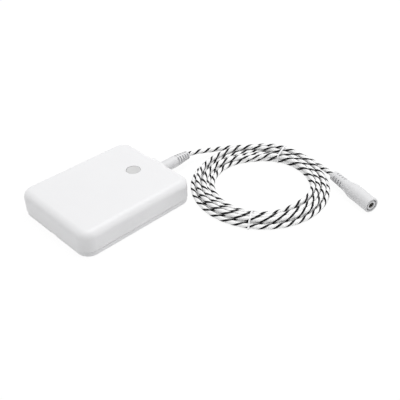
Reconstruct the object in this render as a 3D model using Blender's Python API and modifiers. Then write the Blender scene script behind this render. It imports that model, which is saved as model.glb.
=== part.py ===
"""Water leak sensor: a flat two-part housing with a push button, two battery cells and a
circuit board inside, and a leak sensing rope that plugs into its short side, lies in a tied
round coil and ends in an inline socket.

Run with: blender --background --python part.py
Units are metres, +Z is up and +X points to the side where the rope leaves.
"""
import math

import bmesh
import bpy
import numpy as np
from mathutils import Vector

MM = 0.001
GAP = 0.3 * MM

# Housing: its length, and the room beside and above the cells, which set its width and height
LENGTH = 76.0 * MM
SIDE_ROOM = 1.0 * MM
CELL_HEADROOM = 0.8 * MM
PLAN_CORNER = 7.5 * MM
TOP_EDGE_ROUND = 4.6 * MM
COVER_WALL = 2.0 * MM
PARTING_HEIGHT = 3.0 * MM
CORNER_STEPS = 7
EDGE_STEPS = 5

# Base cover
BASE_SETBACK = 0.3 * MM
BASE_FLOOR = 1.9 * MM
BASE_EDGE_ROUND = 1.2 * MM
LIP_WALL = 1.4 * MM
LIP_HEIGHT = 3.0 * MM
NOTCH_WIDTH = 5.2 * MM
NOTCH_HEIGHT = 1.3 * MM
NOTCH_DEPTH = 1.9 * MM

# Seal between base and cover
SEAL_INSET = 1.0 * MM
SEAL_WALL = 0.8 * MM
SEAL_HEIGHT = 1.1 * MM

# Snap hooks on the long sides
HOOK_X = 21.0 * MM
HOOK_LENGTH = 8.0 * MM
HOOK_PROUD = 0.7 * MM
HOOK_HEIGHT = 1.0 * MM

# Push button and its switch
BUTTON_FROM_WALL = 18.2 * MM
BUTTON_RADIUS = 4.25 * MM
BUTTON_CLEARANCE = 0.2 * MM
BUTTON_DISH = 0.45 * MM
BUTTON_RIM = 0.6 * MM
BUTTON_EDGE = 0.25 * MM
BUTTON_SINK = 0.1 * MM
BUTTON_FLANGE = 5.4 * MM
BUTTON_FLANGE_THICK = 0.7 * MM
BUTTON_TRAVEL = 0.5 * MM
BUTTON_STEM_RADIUS = 1.6 * MM
BUTTON_STEM = 1.0 * MM
GUIDE_WALL = 0.9 * MM
GUIDE_DEPTH = 1.8 * MM
SWITCH_SIDE = 6.0 * MM
SWITCH_HEIGHT = 3.6 * MM
SWITCH_CORNER = 0.5 * MM
PLUNGER_RADIUS = 1.75 * MM
PLUNGER_WELL = 2.2 * MM

# Circuit board and what it carries
BOARD_THICK = 1.0 * MM
BOARD_PAD = 0.6 * MM
BOARD_MARGIN = 0.5 * MM
BOARD_CORNER = 3.5 * MM
BOSS_RADIUS = 2.6 * MM
BOSS_FROM_EDGE = 4.6 * MM
SCREW_SHANK = 0.9 * MM
SCREW_HEAD = 2.0 * MM
SCREW_CROWN = 1.2 * MM
SCREW_BEVEL = 0.5 * MM
SCREW_HEAD_HEIGHT = 1.3 * MM
SCREW_LENGTH = 2.8 * MM
SCREW_SLOT = (2.2 * MM, 0.5 * MM)
SCREW_SLOT_DEPTH = 0.6 * MM
RADIO_SIZE = (17.0 * MM, 12.5 * MM, 0.8 * MM)
RADIO_FROM_EDGE = (3.0 * MM, 10.0 * MM)
SHIELD_SIZE = (11.5 * MM, 10.0 * MM, 2.2 * MM)
SHIELD_ROUND = 0.3 * MM
RADIO_MARGIN = 1.0 * MM
CHIP_SIZE = (7.0 * MM, 7.0 * MM, 0.9 * MM)
CHIP_FROM_EDGE = (14.0 * MM, 31.0 * MM)

# Battery cells, size AAA
CELL_RADIUS = 5.25 * MM
CELL_LENGTH = 43.3 * MM
CELL_NUB_RADIUS = 1.9 * MM
CELL_NUB_LENGTH = 1.0 * MM
CELL_EDGE = 0.6 * MM
CELL_PITCH = 11.1 * MM
CELL_LIFT = 0.4 * MM
CELL_RIB = 1.2 * MM
CELL_RIB_HEIGHT = 3.0 * MM
CELL_RIB_LENGTH = 30.0 * MM
CELL_STOP_WALL = 1.2 * MM
CELL_STOP_HEIGHT = 7.5 * MM
CLIP_THICK = 0.4 * MM
CLIP_WIDTH = 7.5 * MM
CLIP_HEIGHT = 7.0 * MM
SPRING_WIRE = 0.25 * MM
SPRING_LENGTH = 2.2 * MM
SPRING_WIDE = 3.2 * MM
SPRING_NARROW = 2.1 * MM
SPRING_TURNS = 2.0

# Jack in the short side
JACK_AXIS_HEIGHT = 6.6 * MM
JACK_PAD_PROUD = 1.1 * MM
JACK_PAD_WIDTH = 13.0 * MM
JACK_PAD_TOP = 13.2 * MM
JACK_PAD_CORNER = 3.0 * MM
JACK_LENGTH = 12.0 * MM
JACK_WIDTH = 6.4 * MM
JACK_ROOF = 0.5 * MM
JACK_BUSH_RADIUS = 2.6 * MM
JACK_BUSH_SINK = 0.1 * MM
JACK_BUSH_EDGE = 0.2 * MM
JACK_WINDOW = (7.0 * MM, 2.4 * MM)
JACK_LEAF = 0.35 * MM

# Plug of the sensing rope, with its strain relief
PIN_RADIUS = 1.75 * MM
PIN_LENGTH = 13.7 * MM
PIN_GROOVE_RADIUS = 1.1 * MM
PIN_GROOVE_WIDTH = 1.5 * MM
PIN_GROOVES = (4.2 * MM, 9.0 * MM)
PIN_TIP = 2.0 * MM
PIN_TIP_ROUND = 0.6 * MM
PIN_TIP_RADIUS = 1.0 * MM
PLUG_LENGTH = 23.4 * MM
PLUG_RADIUS = 3.6 * MM
RELIEF_TIP_RADIUS = 2.6 * MM
PLUG_RELIEF_START = 12.8 * MM
PLUG_GROOVE_COUNT = 5
PLUG_FIRST_GROOVE = 13.7 * MM
PLUG_GROOVE_PITCH = 2.0 * MM
RELIEF_GROOVE_WIDTH = 0.85 * MM
RELIEF_GROOVE_DEPTH = 0.65 * MM
GRIP_EDGE = 0.35 * MM
PLUG_SPINE_WIDTH = 1.2 * MM
PLUG_SPINE_TURN = math.radians(27.0)

# Sensing rope: lead, coil and tail
ROPE_RADIUS = 1.4 * MM
ROPE_STEP = 2.0
COIL_CENTRE = (75.4 * MM, -50.0 * MM)
COIL_INNER = 27.1 * MM
COIL_OUTER = 41.7 * MM
COIL_HEIGHT = 5.6 * MM
COIL_EDGE_ROUND = 1.4 * MM
LEAD_ROUTE = (
    (65.3, -0.2, 6.5), (68.5, -0.8, 6.2), (72.0, -1.6, 5.7), (75.8, -2.5, 4.9),
    (80.2, -3.5, 4.0), (84.6, -4.7, 3.2), (89.2, -6.3, 2.5), (93.8, -8.5, 2.0),
    (98.3, -11.4, 1.6), (102.6, -15.0, 1.45), (105.8, -19.0, 1.45),
)
TAIL_ROUTE = (
    (119.0, -49.3, 1.45), (118.9, -53.2, 1.45), (118.3, -58.0, 1.5), (117.1, -63.0, 1.8),
    (115.4, -67.8, 2.5), (113.5, -72.1, 3.5), (111.9, -75.4, 4.3),
)
TIE_ANGLES = (19.1, 212.6)
TIE_RADIUS = 0.35 * MM
TIE_NOTCH_WIDTH = 2.4 * MM
TIE_CORNER = 1.2 * MM

# Inline socket at the far end
SOCKET_START = (110.9 * MM, -77.9 * MM)
SOCKET_HEADING = math.radians(-106.5)
SOCKET_LENGTH = 35.0 * MM
SOCKET_RADIUS = 4.6 * MM
SOCKET_RELIEF_TIP = 3.0 * MM
SOCKET_RELIEF_END = 13.5 * MM
SOCKET_RELIEF_RADIUS = 3.5 * MM
SOCKET_SHOULDER_END = 17.6 * MM
SOCKET_EDGE = 0.6 * MM
SOCKET_GROOVE_COUNT = 4
SOCKET_FIRST_GROOVE = 3.4 * MM
SOCKET_GROOVE_PITCH = 2.2 * MM
SOCKET_SPINE_WIDTH = 2.0 * MM
SOCKET_SPINE_TURN = math.radians(22.0)
INSERT_RADIUS = 3.3 * MM
INSERT_DEPTH = 15.0 * MM
INSERT_NOSE_RADIUS = 2.75 * MM
INSERT_NOSE = 1.2 * MM
INSERT_SINK = 0.2 * MM
SLEEVE_WALL = 0.5 * MM
SOCKET_CLEARANCE = 0.1 * MM
SLEEVE_SINK = 0.9 * MM
CONTACT_LENGTH = 4.0 * MM
CONTACT_WALL = 1.0 * MM

# Worked out from the sizes above
CELL_AXIS = BASE_FLOOR + CELL_LIFT + CELL_RADIUS
CELL_SPACE = CELL_LENGTH + CELL_NUB_LENGTH + SPRING_LENGTH + 4 * GAP
LIP_INSET = COVER_WALL + GAP
LIP_TOP = PARTING_HEIGHT + LIP_HEIGHT
ROOM_INSET = LIP_INSET + LIP_WALL
STOP_Y = CELL_SPACE / 2 + 2 * GAP + CLIP_THICK
WIDTH = 2 * (STOP_Y + CELL_STOP_WALL + SIDE_ROOM + ROOM_INSET)
COVER_CEILING = CELL_AXIS + CELL_RADIUS + CELL_HEADROOM
HEIGHT = COVER_CEILING + COVER_WALL
WALL_X = LENGTH / 2
PAD_X = WALL_X + JACK_PAD_PROUD
PLUG_X = PAD_X + GAP
CELL_FIRST_X = ROOM_INSET + GAP + CELL_RADIUS - WALL_X
CELL_MIDDLE_X = CELL_FIRST_X + CELL_PITCH / 2
BOARD_BOTTOM = BASE_FLOOR + BOARD_PAD + GAP
BOARD_TOP = BOARD_BOTTOM + BOARD_THICK
BOARD_SEAT = BOARD_TOP + GAP
BOARD_LEFT = CELL_FIRST_X + CELL_PITCH + CELL_RADIUS + BOARD_MARGIN
BOARD_RIGHT = WALL_X - ROOM_INSET - BOARD_MARGIN
BOARD_HALF = WIDTH / 2 - ROOM_INSET - BOARD_MARGIN
BUTTON_X = WALL_X - BUTTON_FROM_WALL
FLANGE_TOP = COVER_CEILING - GAP
STEM_END = FLANGE_TOP - BUTTON_FLANGE_THICK - BUTTON_STEM
JACK_BORE = PIN_RADIUS + GAP
JACK_FRONT = WALL_X - COVER_WALL - 2 * GAP
SOCKET_BORE = PIN_RADIUS + SOCKET_CLEARANCE
SOCKET_PLACE = (*SOCKET_START, SOCKET_RADIUS)
ROUND_STEPS = 24
SMALL_STEPS = 16
PIN_STEPS = 20
GRIP_STEPS = 28
COIL_STEPS = 48
SINK = 0.5 * MM
OVERRUN = 1.0 * MM


def start_scene():
    """Remove what is in the scene and make the two collections and the root empty."""
    for item in list(bpy.data.objects):
        bpy.data.objects.remove(item, do_unlink=True)
    parts = bpy.data.collections.new("leak_sensor")
    cutters = bpy.data.collections.new("cutters")
    for group in (parts, cutters):
        bpy.context.scene.collection.children.link(group)
    root = bpy.data.objects.new("leak_sensor_root", None)
    parts.objects.link(root)
    root.location = (-JACK_PAD_PROUD / 2, 0, 0)
    return parts, cutters, root


PARTS, CUTTERS, ROOT = start_scene()


def paint(name, colour, roughness, metallic=0.0):
    """A Principled material with one colour, roughness and metallic value."""
    material = bpy.data.materials.new(name)
    material.use_nodes = True
    shader = material.node_tree.nodes["Principled BSDF"]
    shader.inputs["Base Color"].default_value = (*colour, 1.0)
    shader.inputs["Roughness"].default_value = roughness
    shader.inputs["Metallic"].default_value = metallic
    return material


WHITE_PLASTIC = paint("white_plastic", (0.86, 0.86, 0.87), 0.42)
GREY_BUTTON = paint("grey_button", (0.66, 0.66, 0.67), 0.5)
WHITE_VINYL = paint("white_vinyl", (0.78, 0.78, 0.79), 0.5)
ROPE_FIBRE = paint("rope_fibre", (0.85, 0.85, 0.85), 0.7)
TIE_WHITE = paint("tie_white", (0.88, 0.88, 0.88), 0.5)
BOARD_GREEN = paint("board_green", (0.03, 0.17, 0.08), 0.45)
BLACK_PLASTIC = paint("black_plastic", (0.02, 0.02, 0.022), 0.45)
SEAL_RUBBER = paint("seal_rubber", (0.12, 0.12, 0.12), 0.75)
NICKEL = paint("nickel", (0.72, 0.70, 0.66), 0.25, 1.0)
STEEL = paint("steel", (0.62, 0.62, 0.63), 0.32, 1.0)
CELL_JACKET = paint("cell_jacket", (0.10, 0.12, 0.16), 0.4)


def add_part(name, data, material=None, place=(0, 0, 0), turn=(0, 0, 0), cutter=False):
    """Put mesh or curve data into the scene as a part, or as a cutter."""
    item = bpy.data.objects.new(name, data)
    (CUTTERS if cutter else PARTS).objects.link(item)
    item.parent = ROOT
    item.location = place
    item.rotation_euler = turn
    if material:
        data.materials.append(material)
    if cutter:
        item.hide_render = True
        item.display_type = "WIRE"
    return item


def finish_mesh(bm, name, smooth=True):
    """Turn a bmesh into mesh data, shaded smooth apart from its sharp edges."""
    data = bpy.data.meshes.new(name)
    bm.to_mesh(data)
    bm.free()
    if smooth:
        data.shade_smooth()
        data.set_sharp_from_angle(angle=math.radians(35))
    return data


def block_mesh(size, bottom=0.0, centre=(0.0, 0.0)):
    """A plain box of size (x, y, z) that stands on the height given."""
    bm = bmesh.new()
    bmesh.ops.create_cube(bm, size=1.0)
    bmesh.ops.scale(bm, vec=size, verts=bm.verts)
    shift = Vector((centre[0], centre[1], bottom + size[2] / 2))
    bmesh.ops.translate(bm, vec=shift, verts=bm.verts)
    return bm


def edges_at_height(bm, height):
    """The edges that lie level at one height."""
    near = 1e-7
    return [edge for edge in bm.edges if all(abs(v.co.z - height) < near for v in edge.verts)]


def upright_edges(bm):
    """The edges that run straight up."""
    near = 1e-7
    return [edge for edge in bm.edges
            if (edge.verts[0].co.xy - edge.verts[1].co.xy).length < near]


def slab_mesh(size, bottom, corner, top_round=0.0, bottom_round=0.0, centre=(0.0, 0.0), steps=(3, 2)):
    """A box with round corners in plan, and round top and bottom edges where asked."""
    bm = block_mesh(size, bottom, centre)
    bmesh.ops.bevel(bm, geom=upright_edges(bm), offset=corner, segments=steps[0],
                    profile=0.5, affect="EDGES")
    if top_round:
        bmesh.ops.bevel(bm, geom=edges_at_height(bm, bottom + size[2]), offset=top_round,
                        segments=steps[1], profile=0.5, affect="EDGES")
    if bottom_round:
        bmesh.ops.bevel(bm, geom=edges_at_height(bm, bottom), offset=bottom_round,
                        segments=3, profile=0.5, affect="EDGES")
    return bm


def housing_slab(inset, bottom, top, **rounds):
    """A slab with the housing's plan outline, drawn in by an inset."""
    size = (LENGTH - 2 * inset, WIDTH - 2 * inset, top - bottom)
    return slab_mesh(size, bottom, PLAN_CORNER - inset, steps=(CORNER_STEPS, EDGE_STEPS), **rounds)


def tool_slab(name, inset, bottom, top):
    """A slab of the housing's outline that cuts or joins another piece."""
    return add_part(name, finish_mesh(housing_slab(inset, bottom, top), name), cutter=True)


def cut(item, cutter, operation="DIFFERENCE"):
    """Cut one object with another, or join it on, by a Boolean modifier."""
    step = item.modifiers.new(cutter.name, "BOOLEAN")
    step.operation = operation
    step.object = cutter
    step.solver = "EXACT"
    return item


def tool_block(name, size, bottom, centre=(0.0, 0.0)):
    """A box that cuts or joins another piece."""
    return add_part(name, finish_mesh(block_mesh(size, bottom, centre), name, False), cutter=True)


def tool_rod(name, radius, low, high, centre=(0.0, 0.0), steps=ROUND_STEPS, along="Z"):
    """A cylinder that cuts or joins another piece, along Z or along X."""
    bm = bmesh.new()
    bmesh.ops.create_cone(bm, cap_ends=True, segments=steps, radius1=radius, radius2=radius,
                          depth=high - low)
    bmesh.ops.translate(bm, vec=(0, 0, (low + high) / 2), verts=bm.verts)
    data = finish_mesh(bm, name)
    if along == "X":
        return add_part(name, data, place=(0, centre[0], centre[1]), turn=(0, math.pi / 2, 0), cutter=True)
    return add_part(name, data, place=(centre[0], centre[1], 0), cutter=True)


def turned(name, profile, material=None, place=(0, 0, 0), turn=(0, 0, 0), steps=ROUND_STEPS,
           closed=False, cutter=False):
    """A turned piece: a profile of (radius, height) points, from its top down its outer side."""
    data = bpy.data.meshes.new(name)
    points = [(radius, 0.0, height) for radius, height in profile]
    joins = [(n, n + 1) for n in range(len(points) - 1)]
    if closed:
        joins.append((len(points) - 1, 0))
    data.from_pydata(points, joins, [])
    item = add_part(name, data, material, place, turn, cutter)
    screw = item.modifiers.new("turn", "SCREW")
    screw.steps = steps
    screw.render_steps = steps
    screw.use_merge_vertices = True
    screw.merge_threshold = 0.00001
    screw.use_smooth_shade = True
    return item


def arc_points(centre, radius, start, end, steps):
    """Points of an arc in the plane, from one angle to another in degrees."""
    angles = np.radians(np.linspace(start, end, steps + 1))
    return [(centre[0] + radius * math.cos(a), centre[1] + radius * math.sin(a)) for a in angles]


def smooth_route(points, spacing):
    """Points spaced evenly along a smooth curve through the points given."""
    ends = [2 * points[0] - points[1], *points, 2 * points[-1] - points[-2]]
    dense = []
    for a, b, c, d in zip(ends, ends[1:], ends[2:], ends[3:]):
        for t in np.linspace(0, 1, 16, endpoint=False):
            dense.append(0.5 * (2 * b + (c - a) * t + (2 * a - 5 * b + 4 * c - d) * t * t
                                + (3 * b - a - 3 * c + d) * t ** 3))
    dense.append(points[-1])
    dense = np.array(dense)
    run = np.concatenate([[0], np.cumsum(np.linalg.norm(np.diff(dense, axis=0), axis=1))])
    count = max(2, round(run[-1] / spacing))
    stops = np.linspace(0, run[-1], count + 1)
    return np.stack([np.interp(stops, run, dense[:, axis]) for axis in range(3)], axis=-1)


def tube(name, points, radius, material, closed=False, sides=2):
    """A round bar along a list of points, with flat ends."""
    data = bpy.data.curves.new(name, "CURVE")
    data.dimensions = "3D"
    data.bevel_depth = radius
    data.bevel_resolution = sides
    data.use_fill_caps = not closed
    data.resolution_u = 1
    spline = data.splines.new("POLY")
    spline.points.add(len(points) - 1)
    for spot, place in zip(spline.points, points):
        spot.co = (*place, 1.0)
    spline.use_cyclic_u = closed
    return add_part(name, data, material)


def make_top_cover():
    """The upper shell, with the button's hole and guide, the jack's pad and the hook pockets."""
    low = PARTING_HEIGHT + GAP
    bm = housing_slab(0.0, low, HEIGHT, top_round=TOP_EDGE_ROUND)
    under = [face for face in bm.faces if all(vert.co.z < low + 1e-7 for vert in face.verts)]
    bmesh.ops.delete(bm, geom=under, context="FACES_ONLY")
    cover = add_part("top_cover", finish_mesh(bm, "top_cover"), WHITE_PLASTIC)
    shell = cover.modifiers.new("wall", "SOLIDIFY")
    shell.thickness = COVER_WALL
    shell.offset = -1.0
    shell.use_even_offset = True

    pad_low = low + GAP
    pad_size = (JACK_PAD_TOP - pad_low, JACK_PAD_WIDTH, COVER_WALL / 2 + JACK_PAD_PROUD)
    pad = slab_mesh(pad_size, 0.0, JACK_PAD_CORNER)
    cut(cover, add_part("jack_pad", finish_mesh(pad, "jack_pad"), cutter=True,
                        place=(PAD_X, 0, (JACK_PAD_TOP + pad_low) / 2), turn=(0, -math.pi / 2, 0)), "UNION")

    inner = BUTTON_FLANGE + GAP
    outer = inner + GUIDE_WALL
    guide_top, guide_end = COVER_CEILING + COVER_WALL / 2, COVER_CEILING - GUIDE_DEPTH
    guide = [(inner, guide_top), (outer, guide_top), (outer, guide_end), (inner, guide_end)]
    cut(cover, turned("button_guide", guide, place=(BUTTON_X, 0, 0), closed=True, cutter=True), "UNION")

    cut(cover, tool_rod("button_hole", BUTTON_RADIUS + BUTTON_CLEARANCE, COVER_CEILING - OVERRUN,
                        HEIGHT + OVERRUN, (BUTTON_X, 0)))
    cut(cover, tool_rod("jack_hole", JACK_BUSH_RADIUS + GAP, JACK_FRONT, PAD_X + OVERRUN,
                        (0, JACK_AXIS_HEIGHT), along="X"))
    for index, place in enumerate(hook_places()):
        size = (HOOK_LENGTH + 2 * GAP, 2 * (HOOK_PROUD + GAP), HOOK_HEIGHT + 2 * GAP)
        cut(cover, tool_block(f"hook_pocket_{index}", size, LIP_TOP - HOOK_HEIGHT - GAP, place))


def make_base_cover():
    """The lower shell, with the lip, the seal's groove, the board's bosses and the cell stops."""
    plate = housing_slab(BASE_SETBACK, 0.0, PARTING_HEIGHT, bottom_round=BASE_EDGE_ROUND)
    base = add_part("base_cover", finish_mesh(plate, "base_cover"), WHITE_PLASTIC)
    cut(base, tool_slab("lip", LIP_INSET, BASE_FLOOR - SINK, LIP_TOP), "UNION")
    cut(base, seal_ring("seal_groove", GAP))
    cut(base, tool_slab("room", ROOM_INSET, BASE_FLOOR, LIP_TOP + OVERRUN))

    for index, place in enumerate(hook_places()):
        cut(base, tool_block(f"hook_{index}", (HOOK_LENGTH, 2 * HOOK_PROUD, HOOK_HEIGHT),
                             LIP_TOP - HOOK_HEIGHT, place), "UNION")
    for index, place in enumerate(boss_places()):
        cut(base, tool_rod(f"boss_{index}", BOSS_RADIUS, BASE_FLOOR - SINK, BASE_FLOOR + BOARD_PAD, place,
                           steps=SMALL_STEPS), "UNION")
    for index, side in enumerate((-1, 1)):
        wall_y = side * (STOP_Y + CELL_STOP_WALL / 2)
        cut(base, tool_block(f"cell_stop_{index}", (2 * CELL_PITCH, CELL_STOP_WALL, CELL_STOP_HEIGHT + SINK),
                             BASE_FLOOR - SINK, (CELL_MIDDLE_X, wall_y)), "UNION")
    cut(base, tool_block("cell_rib", (CELL_RIB, CELL_RIB_LENGTH, CELL_RIB_HEIGHT + SINK), BASE_FLOOR - SINK,
                         (CELL_MIDDLE_X, 0)), "UNION")

    cut(base, tool_block("pry_notch", (2 * NOTCH_DEPTH, NOTCH_WIDTH, NOTCH_HEIGHT + OVERRUN),
                         -OVERRUN, (BASE_SETBACK - WALL_X, 0)))
    cut(base, tool_block("jack_gate", (2 * (LIP_WALL + GAP), JACK_WIDTH + 2 * GAP, 2 * LIP_HEIGHT),
                         BOARD_TOP, (WALL_X - LIP_INSET - LIP_WALL / 2, 0)))
    for index, place in enumerate(boss_places()):
        cut(base, tool_rod(f"boss_hole_{index}", SCREW_SHANK + GAP, BOARD_SEAT - SCREW_LENGTH - GAP,
                           BASE_FLOOR + BOARD_PAD + OVERRUN, place, steps=SMALL_STEPS))


def make_seal():
    """The rubber ring in the joint between base and cover."""
    seal_ring("base_seal", 0.0, SEAL_RUBBER)


def seal_ring(name, clearance, material=None):
    """The ring of the seal, or its groove in the base when a clearance and no material is given."""
    low = PARTING_HEIGHT - SEAL_HEIGHT - clearance
    top = PARTING_HEIGHT + (OVERRUN if clearance else 0.0)
    outer = housing_slab(SEAL_INSET - clearance, low, top)
    ring = add_part(name, finish_mesh(outer, name), material, cutter=material is None)
    inset = SEAL_INSET + SEAL_WALL + clearance
    return cut(ring, tool_slab(f"{name}_inside", inset, low - OVERRUN, top + OVERRUN))


def hook_places():
    """Where the base's four snap hooks sit, on the long faces of its lip."""
    wall_y = WIDTH / 2 - LIP_INSET
    return [(side_x * HOOK_X, side_y * wall_y) for side_x in (-1, 1) for side_y in (-1, 1)]


def boss_places():
    """Where the board's four bosses and screws stand."""
    left, right = BOARD_LEFT + BOSS_FROM_EDGE, BOARD_RIGHT - BOSS_FROM_EDGE
    return [(x, side * (BOARD_HALF - BOSS_FROM_EDGE)) for x in (left, right) for side in (-1, 1)]


def make_button():
    """The push button: a dished cap with a flange under the cover and a stem to the switch."""
    top = HEIGHT - BUTTON_SINK
    dish_radius = BUTTON_RADIUS - BUTTON_RIM
    dish = [(dish_radius * n / 5, top - BUTTON_DISH * (1 - (n / 5) ** 2)) for n in range(6)]
    profile = dish + [
        (BUTTON_RADIUS - BUTTON_EDGE, top),
        (BUTTON_RADIUS, top - BUTTON_EDGE),
        (BUTTON_RADIUS, FLANGE_TOP),
        (BUTTON_FLANGE, FLANGE_TOP),
        (BUTTON_FLANGE, FLANGE_TOP - BUTTON_FLANGE_THICK),
        (BUTTON_STEM_RADIUS, FLANGE_TOP - BUTTON_FLANGE_THICK),
        (BUTTON_STEM_RADIUS, STEM_END),
        (0.0, STEM_END),
    ]
    profile = [(radius, height - FLANGE_TOP) for radius, height in profile]
    turned("button_cap", profile, GREY_BUTTON, place=(BUTTON_X, 0, FLANGE_TOP), steps=GRIP_STEPS)


def make_switch():
    """The push switch on the board, with the plunger that the button's stem presses."""
    size = (SWITCH_SIDE, SWITCH_SIDE, SWITCH_HEIGHT)
    body = slab_mesh(size, BOARD_SEAT, SWITCH_CORNER, centre=(BUTTON_X, 0))
    switch = add_part("switch_body", finish_mesh(body, "switch_body"), BLACK_PLASTIC)
    switch_top = BOARD_SEAT + SWITCH_HEIGHT
    cut(switch, tool_rod("plunger_well", PLUNGER_RADIUS + GAP, switch_top - PLUNGER_WELL,
                         switch_top + OVERRUN, (BUTTON_X, 0)))
    top = STEM_END - GAP
    bottom = switch_top - PLUNGER_WELL + BUTTON_TRAVEL + GAP
    turned("switch_plunger", [
        (0.0, 0.0), (PLUNGER_RADIUS - GAP, 0.0), (PLUNGER_RADIUS, -GAP),
        (PLUNGER_RADIUS, bottom - top), (0.0, bottom - top),
    ], BLACK_PLASTIC, place=(BUTTON_X, 0, top), steps=PIN_STEPS)


def make_board():
    """The circuit board with its screws, radio and main chip."""
    size = (BOARD_RIGHT - BOARD_LEFT, 2 * BOARD_HALF, BOARD_THICK)
    plate = slab_mesh(size, BOARD_BOTTOM, BOARD_CORNER, centre=((BOARD_RIGHT + BOARD_LEFT) / 2, 0))
    board = add_part("circuit_board", finish_mesh(plate, "circuit_board"), BOARD_GREEN)
    for index, place in enumerate(boss_places()):
        cut(board, tool_rod(f"board_hole_{index}", SCREW_SHANK + GAP, BOARD_BOTTOM - OVERRUN,
                            BOARD_TOP + OVERRUN, place, steps=SMALL_STEPS))
        make_screw(f"board_screw_{index + 1}", place)

    radio_x, radio_y = board_spot(RADIO_FROM_EDGE, RADIO_SIZE)
    radio = block_mesh(RADIO_SIZE, BOARD_SEAT, (radio_x, radio_y))
    add_part("radio_board", finish_mesh(radio, "radio_board", False), BOARD_GREEN)
    shield_x = radio_x + (RADIO_SIZE[0] - SHIELD_SIZE[0]) / 2 - RADIO_MARGIN
    shield = slab_mesh(SHIELD_SIZE, BOARD_SEAT + RADIO_SIZE[2] + GAP, 2 * SHIELD_ROUND,
                       top_round=SHIELD_ROUND, centre=(shield_x, radio_y))
    add_part("radio_shield", finish_mesh(shield, "radio_shield"), STEEL)
    chip = block_mesh(CHIP_SIZE, BOARD_SEAT, board_spot(CHIP_FROM_EDGE, CHIP_SIZE))
    add_part("main_chip", finish_mesh(chip, "main_chip", False), BLACK_PLASTIC)


def board_spot(from_edge, size):
    """The centre of a component, from its distances to the board's left and near edges."""
    return BOARD_LEFT + from_edge[0] + size[0] / 2, from_edge[1] + size[1] / 2 - BOARD_HALF


def make_screw(name, place):
    """A pan-head screw with a cross recess, down through the board into its boss."""
    head_top = BOARD_SEAT + SCREW_HEAD_HEIGHT
    tip = BOARD_SEAT - SCREW_LENGTH
    screw = turned(name, [
        (0.0, head_top), (SCREW_CROWN, head_top), (SCREW_HEAD, head_top - SCREW_BEVEL),
        (SCREW_HEAD, BOARD_SEAT), (SCREW_SHANK, BOARD_SEAT),
        (SCREW_SHANK, tip + SCREW_BEVEL), (0.0, tip),
    ], STEEL, place=(*place, 0), steps=SMALL_STEPS)
    for index in range(2):
        size = (SCREW_SLOT[index], SCREW_SLOT[1 - index], SCREW_SLOT_DEPTH + OVERRUN)
        cut(screw, tool_block(f"{name}_slot_{index}", size, head_top - SCREW_SLOT_DEPTH, place))


def make_cells():
    """Two cells side by side, one turned end for end, with their springs, link and clips."""
    half = CELL_LENGTH / 2
    for index, way in enumerate((1, -1)):
        x = CELL_FIRST_X + index * CELL_PITCH
        centre_y = way * (CELL_SPACE / 2 - GAP - CELL_NUB_LENGTH - half)
        turned(f"battery_cell_{index + 1}", [
            (0.0, half + CELL_NUB_LENGTH), (CELL_NUB_RADIUS, half + CELL_NUB_LENGTH), (CELL_NUB_RADIUS, half),
            (CELL_RADIUS - CELL_EDGE, half), (CELL_RADIUS, half - CELL_EDGE),
            (CELL_RADIUS, CELL_EDGE - half), (CELL_RADIUS - CELL_EDGE, -half), (0.0, -half),
        ], CELL_JACKET, place=(x, centre_y, CELL_AXIS), turn=(-way * math.pi / 2, 0, 0))
        start_y = centre_y - way * (half + GAP + SPRING_WIRE)
        make_spring(f"battery_spring_{index + 1}", x, start_y, -way)

    clip_y = CELL_SPACE / 2 + GAP + CLIP_THICK / 2
    bottom = CELL_AXIS - CLIP_HEIGHT / 2
    link = block_mesh((CELL_PITCH + CLIP_WIDTH, CLIP_THICK, CLIP_HEIGHT), bottom, (CELL_MIDDLE_X, -clip_y))
    add_part("battery_link", finish_mesh(link, "battery_link", False), NICKEL)
    for index, sign in enumerate(("plus", "minus")):
        clip = block_mesh((CLIP_WIDTH, CLIP_THICK, CLIP_HEIGHT), bottom,
                          (CELL_FIRST_X + index * CELL_PITCH, clip_y))
        add_part(f"battery_clip_{sign}", finish_mesh(clip, "clip", False), NICKEL)


def make_spring(name, x, start_y, way):
    """A conical wire spring between a cell's flat end and its clip."""
    points = []
    turns = int(SPRING_TURNS * 12)
    run = SPRING_LENGTH - 2 * SPRING_WIRE
    for step in range(turns + 1):
        share = step / turns
        angle = share * SPRING_TURNS * 2 * math.pi
        radius = SPRING_NARROW + (SPRING_WIDE - SPRING_NARROW) * share
        points.append((x + radius * math.cos(angle), start_y + way * run * share,
                       CELL_AXIS + radius * math.sin(angle)))
    tube(name, points, SPRING_WIRE, NICKEL, sides=1)


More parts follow.
